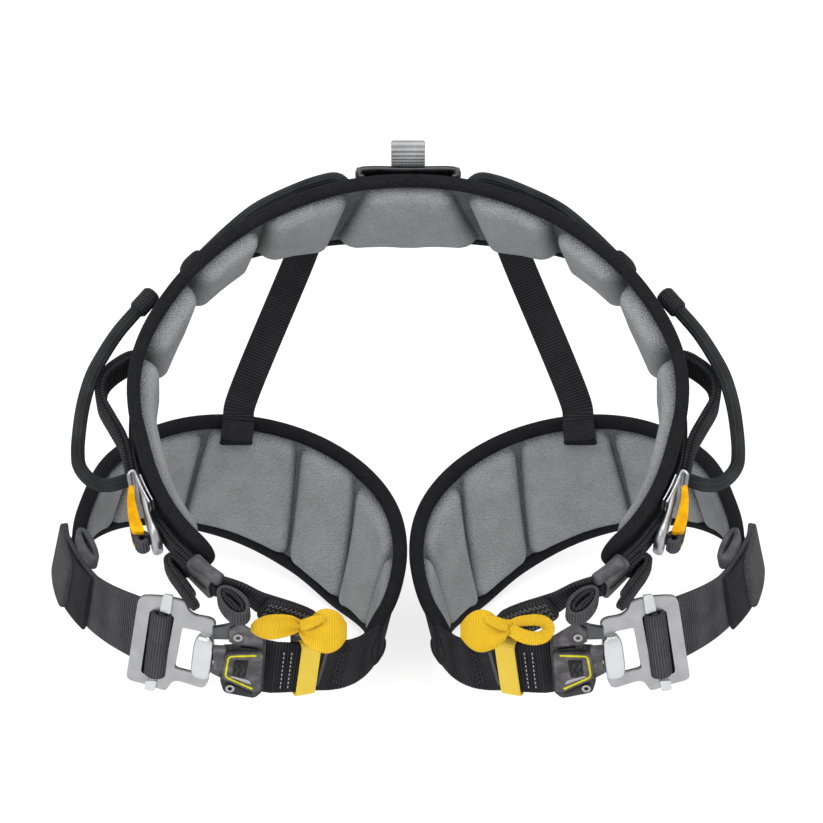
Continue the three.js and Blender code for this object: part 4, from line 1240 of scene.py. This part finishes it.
def sewn_rows(name, path, up, spots, lean, lift, thread, finish, place=on_leg):
    """Stitches on a strap, each from a start to an end given along it and over its middle line."""
    along, over = np.moveaxis(np.asarray(spots, float), -1, 0)
    starts, out = strap_spots(path, up, along[:, 0] + over[:, 0] * lean, over[:, 0], lift)
    ends, _ = strap_spots(path, up, along[:, 1] + over[:, 1] * lean, over[:, 1], lift)
    for side, flip in SIDES:
        turned = [place(spot) * (flip, 1, 1) for spot in (starts, ends)]
        way = (place(starts + out) - place(starts)) * (flip, 1, 1)
        stitch_piece(f"{name}_{side}", *turned, way, thread, finish)


def dashes(along, first, last, count, share):
    """Rows of stitches over a strap at one length along it."""
    stops = np.linspace(first, last, count + 1)
    step = (last - first) / count
    line = np.full(count, along)
    return np.stack([np.stack([line, line], -1), np.stack([stops[:-1], stops[:-1] + step * share], -1)], -1)


def zigzag(along, first, last, count, half):
    """Stitches over a strap that run from side to side of one length along it."""
    stops = np.linspace(first, last, count + 1)
    swing = along + half * np.where(np.arange(count + 1) % 2, 1, -1)
    return np.stack([np.stack([swing[:-1], swing[1:]], -1), np.stack([stops[:-1], stops[1:]], -1)], -1)


def inner_at(angle):
    """Length along the inner strap at an angle."""
    return np.interp(angle, np.linspace(*INNER_ENDS, STRAP_COUNT), lengths(inner_path))


light_rows = np.concatenate([dashes(inner_at(angle), -17, 17, 9, 0.6) for angle in (158.3, 161)])
tack_rows = zigzag(inner_at(146.2), -16, 15, 34, 1.6)
cross_rows = ((139, 1.1), (140.6, -1.1))
dark_rows = np.concatenate([zigzag(inner_at(angle), -15, 13, 14, half) for angle, half in cross_rows])
STITCH_LIFT = -2.3
INNER_STITCHES = (
    ("inner_dashes", light_rows, 0.9, GREY_THREAD),
    ("inner_tack", tack_rows, 0.8, MID_THREAD),
    ("inner_cross", dark_rows, 0.8, BLACK_THREAD),
)
for name, rows, thread, finish in INNER_STITCHES:
    sewn_rows(name, inner_path, inner_up, rows, INNER_LEAN, STITCH_LIFT, thread, finish)
outer_path, outer_up = leg_line(206, 268, STRAP_COUNT, OUTER_OFFSETS)
outer_extra = np.interp(np.arange(STRAP_COUNT), (0, 240), (7, 0))
outer_path = outer_path + unit(outer_up) * (outer_extra / 2)[:, None]
outer_profile = strap_profile(STRAP_WIDTH + outer_extra, 3.6 + ribs(outer_path, OUTER_RIB, 0.6))
outer_strap = sweep(outer_path, outer_up, outer_profile)
on_both("outer_webbing", outer_strap, on_leg, OUTER_WEBBING, ["leg_strap_outer"])
tail_path, tail_up = leg_line(235, 252, 200, (4.4, 4.6, 5))
tail_strap = sweep(tail_path, tail_up, strap_profile(STRAP_WIDTH, 3.2 + ribs(tail_path, 1.9, 0.6)))
on_both("leg_end", tail_strap, on_leg, WEBBING, ["leg_tail"])
panel_path, panel_up = leg_line(246, 270, 70, (7.4, 6.4, 5.8, 5.6))
corner = end_round(70, 46, 7)
panel = sweep(panel_path, panel_up, strap_profile(31 + 14 * corner, 4 + corner))
on_both("leg_end_panel", panel, on_leg, PANEL_TWILL)

# Leg buckle.
frame_spot = leg_spot(**FRAME_SPOT)
latch_spot = leg_spot(**LATCH_SPOT)


def on_frame(points):
    """Points of the buckle frame in the harness frame."""
    return on_leg(at_spot(frame_spot, points))


def on_latch(points):
    """Points of the latch in the harness frame."""
    return on_leg(at_spot(latch_spot, points))


frame_loops = [rounded(FRAME_OUTLINE, 3.5), rounded(FRAME_SLOT, 3), rounded(FRAME_WINDOW, 3)]
frame_node = ["buckle_frame"]
plate_on_both("buckle_plate", frame_loops, 1.7, 0.75, 0.5, on_frame, SILVER, frame_node)
# Painted shade: a dark copy of the frame's outline just under it, showing as dark lines along the frame's
# edges.
plate_on_both("buckle_edge_shade", frame_loops, 1.5, -0.85, 0.4, on_frame, LATCH_GREY)
# Painted shade: a near-black plate behind the frame's slot, where there is only shadow.
slot_shade = [rounded(((-2, -33), (19, -33), (18, 27), (-4, 27)), 2)]
plate_on_both("buckle_slot_shade", slot_shade, 1.6, -4.4, 0.4, on_frame, BLACK_AND_SHADE)
WRAP_CENTRE = (7.4, -2, 0)
wrap_core = block((5.4, 25.6, 5.2), 0.7) + WRAP_CENTRE
on_both("buckle_core", wrap_core, on_frame, OUTER_WEBBING)
wrap = arc_path(0, 0, 6, -70, 250, 170)[:, [0, 2, 1]] + WRAP_CENTRE
buckle_wrap = sweep(wrap, (0, 1, 0), strap_profile(52, 3 + ribs(wrap, OUTER_RIB, 0.5)))
on_both("buckle_webbing", buckle_wrap, on_frame, OUTER_WEBBING, ["buckle_roll"])
# The tongue is in the lighter metal: painted highlight.
tongue = block((7, 17.6, 4.6), 0.55) + (-24.8, -1, 2.6)
on_both("buckle_tongue", tongue, on_frame, HIGHLIT_METAL)
CLIPS = (
    ((1, 25.6), (8.6, 25.6), (7.4, 39.8), (0.9, 40.8)),
    ((4.8, -31.2), (12.6, -33.5), (12.6, -41), (5.4, -40.2)),
)
# The clips are in the lighter metal: painted highlight.
for row, outline in enumerate(CLIPS):
    clip = [rounded(outline, 1.6)]
    plate_on_both(f"frame_clip_{row}", clip, 1.8, 2.4, 0.6, on_frame, HIGHLIT_METAL)
latch_body = [rounded(LATCH_OUTLINE, 3)]
plate_on_both("latch_body", latch_body, 6.4, 2.3, 1.6, on_latch, LATCH_GREY, ["buckle_latch"])
lever_loop = [rounded(((-12.4, 12.8), (12.6, 11.6), (14, -9), (-6, -20.4), (-12.4, -20.4)), 3)]
plate_on_both("latch_lever", lever_loop, 3.4, 7, 1.2, on_latch, LEVER_GREY, ["buckle_lever"])
line_corner = rounded(LATCH_LINE, 2.6)[6:18]
line_spots = np.vstack([LATCH_LINE[:1], line_corner, LATCH_LINE[3:]])
line_rows = np.column_stack([line_spots, np.full(len(line_spots), 8.6)])
latch_line = sweep(smooth_path(line_rows, 90), (0.1, 0.1, 1), strap_profile(0.9, 1.5))
on_both("latch_line", latch_line, on_latch, LINE_YELLOW)
LATCH_EAR = ((11, 20.8), (11.2, 30), (5.3, 34.8), (-4, 30), (-12, 21.6), (-11.6, 17.6), (4, 18.6))
LATCH_ARM = ((22.3, 30.4), (14, 32.4), (7.6, 35.2), (8, 21.2), (22, 21.2))
LATCH_DETAILS = (
    ("latch_ear", LATCH_EAR, 3, 5.6, LEVER_GREY),
    # Painted shade: near-black strips in the latch's slots, where there is only shadow.
    ("latch_slot_upper_shade", ((3, 16.4), (-9, 15), (-9, 13.2), (3, 14.6)), 3, 5.4, BLACK_AND_SHADE),
    ("latch_slot_lower_shade", ((4.8, -16.8), (-6.8, -22.6), (-6.8, -20.2), (4.8, -14.8)), 2.6, 8, BLACK_AND_SHADE),
    ("latch_pad", ((6.6, 6.6), (-3, 6.9), (-1.6, -7.9), (7.2, -6.3)), 1.6, 8.4, BLACK_AND_SHADE),
    ("latch_bevel", ((9, -7.2), (7.6, -6.4), (-4.5, -10), (-6.2, -13.6)), 1.6, 8.5, SILVER),
    ("latch_arm", LATCH_ARM, 3, 3.4, DARK_METAL),
    ("latch_nose", ((21.4, 15.2), (12.4, 14.8), (12.8, -7.6), (20, -2)), 4, 5, LEVER_GREY),
    ("latch_hook", ((21.6, -2.6), (13.4, -9), (13.4, -14), (21.6, -9)), 4, 1.2, DARK_METAL),
)
for name, outline, thickness, level, finish in LATCH_DETAILS:
    plate_on_both(name, [rounded(outline, 1.4)], thickness, level, 0.6, on_latch, finish)
ridge_share = np.linspace(0, 1, 50)
for row, across in enumerate((4.4, 0.6)):
    bend = across + 0.8 * np.sin(ridge_share * TAU * 1.5)
    wavy = np.stack([bend, 5.4 - 11.4 * ridge_share, 9.3 + 0 * ridge_share], -1)
    ridge = sweep(wavy, (0.1, 0.1, 1), strap_profile(1.3, 1.4))
    on_both(f"latch_ridge_{row}", ridge, on_latch, LATCH_GREY)
SCREWS = (((5.1, 25.2), "screw_upper"), ((8.1, -18.6), "screw_lower"))
# Screw heads: radius of the rim and of the drive, and how far its six lobes stand out.
RIM_RADIUS = 3.1
DRIVE_RADIUS = 1.5
DRIVE_LOBE = 0.28
star = np.arange(48) * TAU / 48
circle = np.stack([np.cos(star), np.sin(star)], -1)
drive = (DRIVE_RADIUS + DRIVE_LOBE * np.cos(6 * star))[:, None] * circle
for row, (spot, node) in enumerate(SCREWS):
    head = [RIM_RADIUS * circle + spot, drive + spot]
    plate_on_both(f"latch_screw_{row}", head, 2, 7, 0.4, on_latch, SILVER, [node])

# Yellow bands, attachment loops, risers and rear straps.
band_sleeve = sleeve_points(14.6, 7.2, 46.4, 1.8)[..., [0, 2, 1]]
band_sleeve[..., 0] += 0.04 * band_sleeve[..., 1]
band_sleeve = at_spot(leg_spot(152, 0.6, 0, 0), band_sleeve)
on_both("yellow_band", band_sleeve, on_leg, YELLOW_WEBBING, ["loop_band"], RING)

# Yellow tape: how far its plane leans back, and its thickness.
TAPE_LEAN = 40
TAPE_THICK = 1.9


def on_tape(spot, rows):
    """Rows of x, v up a plane that leans back and d out of it, from a spot in the harness frame."""
    x, v, d = np.moveaxis(np.asarray(rows, float)[..., :3], -1, 0)
    rise, ahead = spin(v, d, -TAPE_LEAN)
    return np.stack([x, -ahead, rise], -1) + spot


def tape_loop(spot, rows):
    """Yellow tape folded to two layers in a leaning plane, its width changing on the way.

    Creases fan out from where it is drawn together: waves of the share of its width, fading away from there.
    """
    path = smooth_path(rows, 200, True)
    up = on_tape((0, 0, 0), (0, 1, 0))
    profile = strap_profile(path[:, 3], TAPE_THICK)
    pinch = np.clip(1 - np.abs(path[:, :1]) / 28, 0, 1) * np.clip(path[:, 2:3], 0, 1)
    share = 2 * profile[..., 0] / path[:, 3:]
    ripple = 1.2 * pinch * np.cos(share * TAU * 0.95 + 0.6)
    return sweep(on_tape(spot, path), up, profile, True, ripple[..., None])


def tape_eye(spot, rows):
    """Yellow tape laid flat round an eye in a leaning plane, its width changing on the way."""
    path = smooth_path(rows, 160, True)
    placed = on_tape(spot, path)
    out = on_tape((0, 0, 0), (0, 0, 1))
    across = np.cross(np.broadcast_to(out, placed.shape), directions(placed, True))
    return sweep(placed, across, strap_profile(path[:, 3], TAPE_THICK), True)


def tape_fold(spot, way):
    """Short fold of tape that stands on the round end, from where it is drawn together."""
    path = smooth_path(np.array(TAPE_FOLD) * (way, 1, 1, 1), 60)
    up = on_tape((0, 0, 0), (0, 1, 0))
    return sweep(on_tape(spot, path), up, strap_profile(path[:, 3], TAPE_THICK))


LEFT_TAPE = (
    (-31.6, -1.2, 0, 5.6),
    (-29.3, -1, 1.4, 10),
    (-24.1, -0.8, 2.2, 14.8),
    (-18.3, -0.4, 2.4, 16.5),
    (-11.7, 0.3, 2.2, 15.3),
    (-5.9, 0.6, 1.6, 12.9),
    (0, 0, 1, 8.5),
    (2.6, -1.2, 1.8, 13),
    (5.9, -2.4, 2.8, 19.6),
    (9.8, -3, 3.6, 25.4),
    (16, -3, 4, 29.2),
    (22.2, -3, 3.2, 26.6),
    (26.7, -3, 1.8, 19.8),
    (29.4, -3, 0, 11),
    (26.7, -3, -1.8, 19.8),
    (22.2, -3, -2.8, 26.2),
    (16, -3, -3.2, 28.8),
    (9.8, -2.6, -2.8, 25),
    (5.9, -1.8, -2.2, 19),
    (2.6, -0.7, -1.4, 12),
    (0, 0, -1, 8.5),
    (-5.9, 0.6, -1.4, 12.6),
    (-11.7, 0.3, -1.8, 15),
    (-18.3, -0.4, -2, 16),
    (-24.1, -0.8, -1.8, 14.4),
    (-29.3, -1, -1.2, 10),
)
RIGHT_TAPE = (
    (2.4, 0, 0, 9),
    (0, 0, 1, 9.8),
    (-2.6, -1, 2, 12.6),
    (-5.2, -2, 3, 17),
    (-9.1, -2.6, 3.8, 23),
    (-15.6, -2.6, 4.2, 27.7),
    (-21.5, -2.6, 3.4, 26.2),
    (-26.7, -2.6, 2, 18.9),
    (-30.2, -2.6, 0, 10),
    (-26.7, -2.6, -2, 18.9),
    (-21.5, -2.6, -3, 25.8),
    (-15.6, -2.6, -3.4, 27.2),
    (-9.1, -2.2, -3, 22.5),
    (-5.2, -1.4, -2.4, 16.4),
    (-2.6, -0.6, -1.6, 11.4),
    (0, 0, -1, 9),
)
RIGHT_EYE = (
    (0.5, -0.4, 0, 8),
    (3.9, -3.1, 1, 8.8),
    (7.8, -5.2, 1.5, 9.1),
    (13, -6.9, 2, 9.3),
    (18.9, -7.4, 2, 9),
    (23.6, -6, 1.5, 8.6),
    (26.4, -2, 0.5, 8.4),
    (25.6, 1.4, -0.5, 8.2),
    (22.4, 3.6, -1.2, 8),
    (18, 4.4, -1.5, 7.8),
    (13, 4.1, -1.5, 7.5),
    (7.8, 3.5, -1.2, 6.8),
    (3.9, 2.3, -0.6, 6.2),
)
TAPE_FOLD = (
    (0.4, 0.4, 2, 7.6),
    (4.6, 1.8, 4.6, 8),
    (9, 3.6, 6.2, 7.4),
    (13, 4.6, 6.2, 6),
    (16.4, 4.4, 4.4, 4.4),
)
LEFT_PINCH = (-70, -122, -58.3)
RIGHT_PINCH = (65.2, -122, -58.8)
TAPES = (("left", LEFT_PINCH, LEFT_TAPE, 1), ("right", RIGHT_PINCH, RIGHT_TAPE, -1))
for side, spot, rows, way in TAPES:
    tape = tape_loop(spot, rows)
    nodes = [f"attachment_loop_{side}"]
    grid_piece(f"yellow_loop_{side}", tape, YELLOW_TAPE, nodes, RING)
    grid_piece(f"yellow_fold_{side}", tape_fold(spot, way), YELLOW_TAPE)
eye = tape_eye(RIGHT_PINCH, RIGHT_EYE)
grid_piece("yellow_eye_right", eye, YELLOW_TAPE, [], RING)

RISER = (
    (-122, -103.6, -37.6, 0, -0.37, 0.93),
    (-109, -105.5, -41.6, 0, -0.37, 0.93),
    (-96, -108.5, -49.5, 0.1, -0.2, 0.95),
    (-82, -109.5, -57.5, 0.25, 0, 0.95),
    (-72, -106, -67, 0.55, 0.1, 0.75),
    (-68, -96, -82, 0.78, 0.3, 0.35),
    (-67.5, -83, -103, 0.88, 0.4, 0),
    (-68.5, -66.6, -117, 0.9, 0.4, -0.2),
    (-69, -60.2, -129, 0.9, 0.4, -0.2),
    (-69.5, -57.6, -142, 0.9, 0.4, -0.2),
)
riser_path = smooth_path(RISER, 300)
riser_line = riser_path[:, :3]
riser = sweep(riser_line, riser_path[:, 3:], strap_profile(22, 2.7 + ribs(riser_line, BLACK_RIB, 0.5)))
on_both("riser_webbing", riser, in_place, WEBBING, ["riser"])
tab_path = riser_path[np.argmax(riser_line[:, 0] > -95):150]
tab_count = len(tab_path)
tab_up = tab_path[:, 3:]
tab_out = unit(np.cross(directions(tab_path[:, :3]), tab_up))
tab_side = float(np.sign(-tab_out[0, 1]))
tab_line = tab_path[:, :3] + tab_out * tab_side * 3.4
tab_ends = 0.6 + 0.4 * end_round(tab_count, 50, 5)
tab_profile = strap_profile(23 * tab_ends, 3.8 * tab_ends + ribs(tab_line, BLACK_RIB, 0.4))
riser_tab = sweep(tab_line, tab_up, tab_profile)
on_both("riser_tab", riser_tab, in_place, BOLD_WEBBING)
tab_rows = np.concatenate([zigzag(over, 3, 42, 26, 1.7)[..., ::-1] for over in (-7.6, -2.6, 2.6, 7.6)])
sewn_rows("riser_tack", tab_line, tab_up, tab_rows, 0, 2.2 * tab_side, 0.8, MID_THREAD, in_place)


# Where the rear strap crosses the belt and the leg loop.
REAR_ON_BELT = -20.7
REAR_ON_LEG = -2.4


def rear_strap_points():
    """Flat webbing from the outside of the belt's back, under its edge and over the leg's top edge."""
    low = belt.value(2, REAR_ON_BELT)
    high = leg.value(1, REAR_ON_LEG)
    on_back = belt.point(REAR_ON_BELT, np.array([low + 30, low + 8, low - 8]), np.array([6.4, 6.4, 5.4]))
    over_leg = leg.point(REAR_ON_LEG, high + np.array([10, 4, -3, -11]), np.array([-4, -8, -11, -13]))
    path = smooth_path(np.vstack([on_belt(on_back), on_leg(over_leg)]), 300)
    return sweep(path, ACROSS, strap_profile(22, 2.2 + ribs(path, BLACK_RIB, 0.5)))


def rear_tab_points():
    """Short folded tab over the leg's top edge, on the end of the rear strap."""
    high = leg.value(1, REAR_ON_LEG)
    rows = leg.point(REAR_ON_LEG, high + np.array([3.4, 0, -3.4, -7.6]), np.array([-11.2, -13.4, -14.8, -16]))
    path = smooth_path(on_leg(rows), 60)
    return sweep(path, ACROSS, strap_profile(22.6 * (0.86 + 0.14 * end_round(60, 20, 3)), 2.8))


on_both("rear_webbing", rear_strap_points(), in_place, WEBBING, ["rear_strap"])
on_both("rear_tab", rear_tab_points(), in_place, SMOOTH_TWILL)
tab_foot = on_leg(leg.point(REAR_ON_LEG, leg.value(1, REAR_ON_LEG) - 8.6, -16.6))
rear_bar = roll_points(tab_foot - (11.6, 0, 0), tab_foot + (11.6, 0, 0), 1.9)
on_both("rear_tab_bar", rear_bar, in_place, BINDING)


# Floor, light and camera.
def flat_finish(name, light, dark):
    """Pale floor: a faint cloud in its tone, and a glow of its own that keeps shadows faint."""
    paint = Paint(name)
    cloud = paint.noise(400)
    constants = {"Emission Color": (1, 1, 1, 1), "Emission Strength": 0.72, **MATT}
    return paint.surface(paint.mix(cloud, light, dark), 0.9, constants=constants)


def add_light(name, place, size, power):
    """A soft area light that faces the harness."""
    light = bpy.data.lights.new(name, "AREA")
    light.shape = "DISK"
    light.size = size
    light.energy = power
    lamp = link_object(name, light)
    lamp.location = place
    lamp.rotation_euler = (-lamp.location).to_track_quat("-Z", "Y").to_euler()


# Floor in metres: half its width, and how far it lies below the harness.
FLOOR_HALF = 8
FLOOR_GAP = 0.002
floor_level = float(cad_low[2]) - FLOOR_GAP
floor_mesh = bpy.data.meshes.new("floor")
floor_ways = ((-1, -1), (1, -1), (1, 1), (-1, 1))
floor_spots = [(x * FLOOR_HALF, y * FLOOR_HALF, floor_level) for x, y in floor_ways]
floor_mesh.from_pydata(floor_spots, [], [(0, 1, 2, 3)])
floor_mesh.materials.append(flat_finish("pale floor", tint(154, 154, 154), tint(160, 160, 160)))
floor = link_object("floor", floor_mesh)

world = bpy.data.worlds.new("studio")
world.use_nodes = True
background = world.node_tree.nodes["Background"]
background.inputs["Color"].default_value = (1, 1, 1, 1)
background.inputs["Strength"].default_value = 1.0
bpy.context.scene.world = world
bpy.context.scene.view_settings.view_transform = "Standard"
add_light("top light", (0.2, -0.4, 2.4), 2.2, 40)
add_light("front light", (-1.4, -2.0, 1.5), 1.4, 16)

camera_data = bpy.data.cameras.new("camera")
camera_data.lens = 170.6
camera_data.sensor_width = 36
camera_data.dof.use_dof = False
camera_data.clip_end = 50
camera = link_object("camera", camera_data)
camera.location = (0.0023, -1.9808, 1.6842)
camera.rotation_euler = (50 * DEGREE, 0, 0)
bpy.context.scene.camera = camera
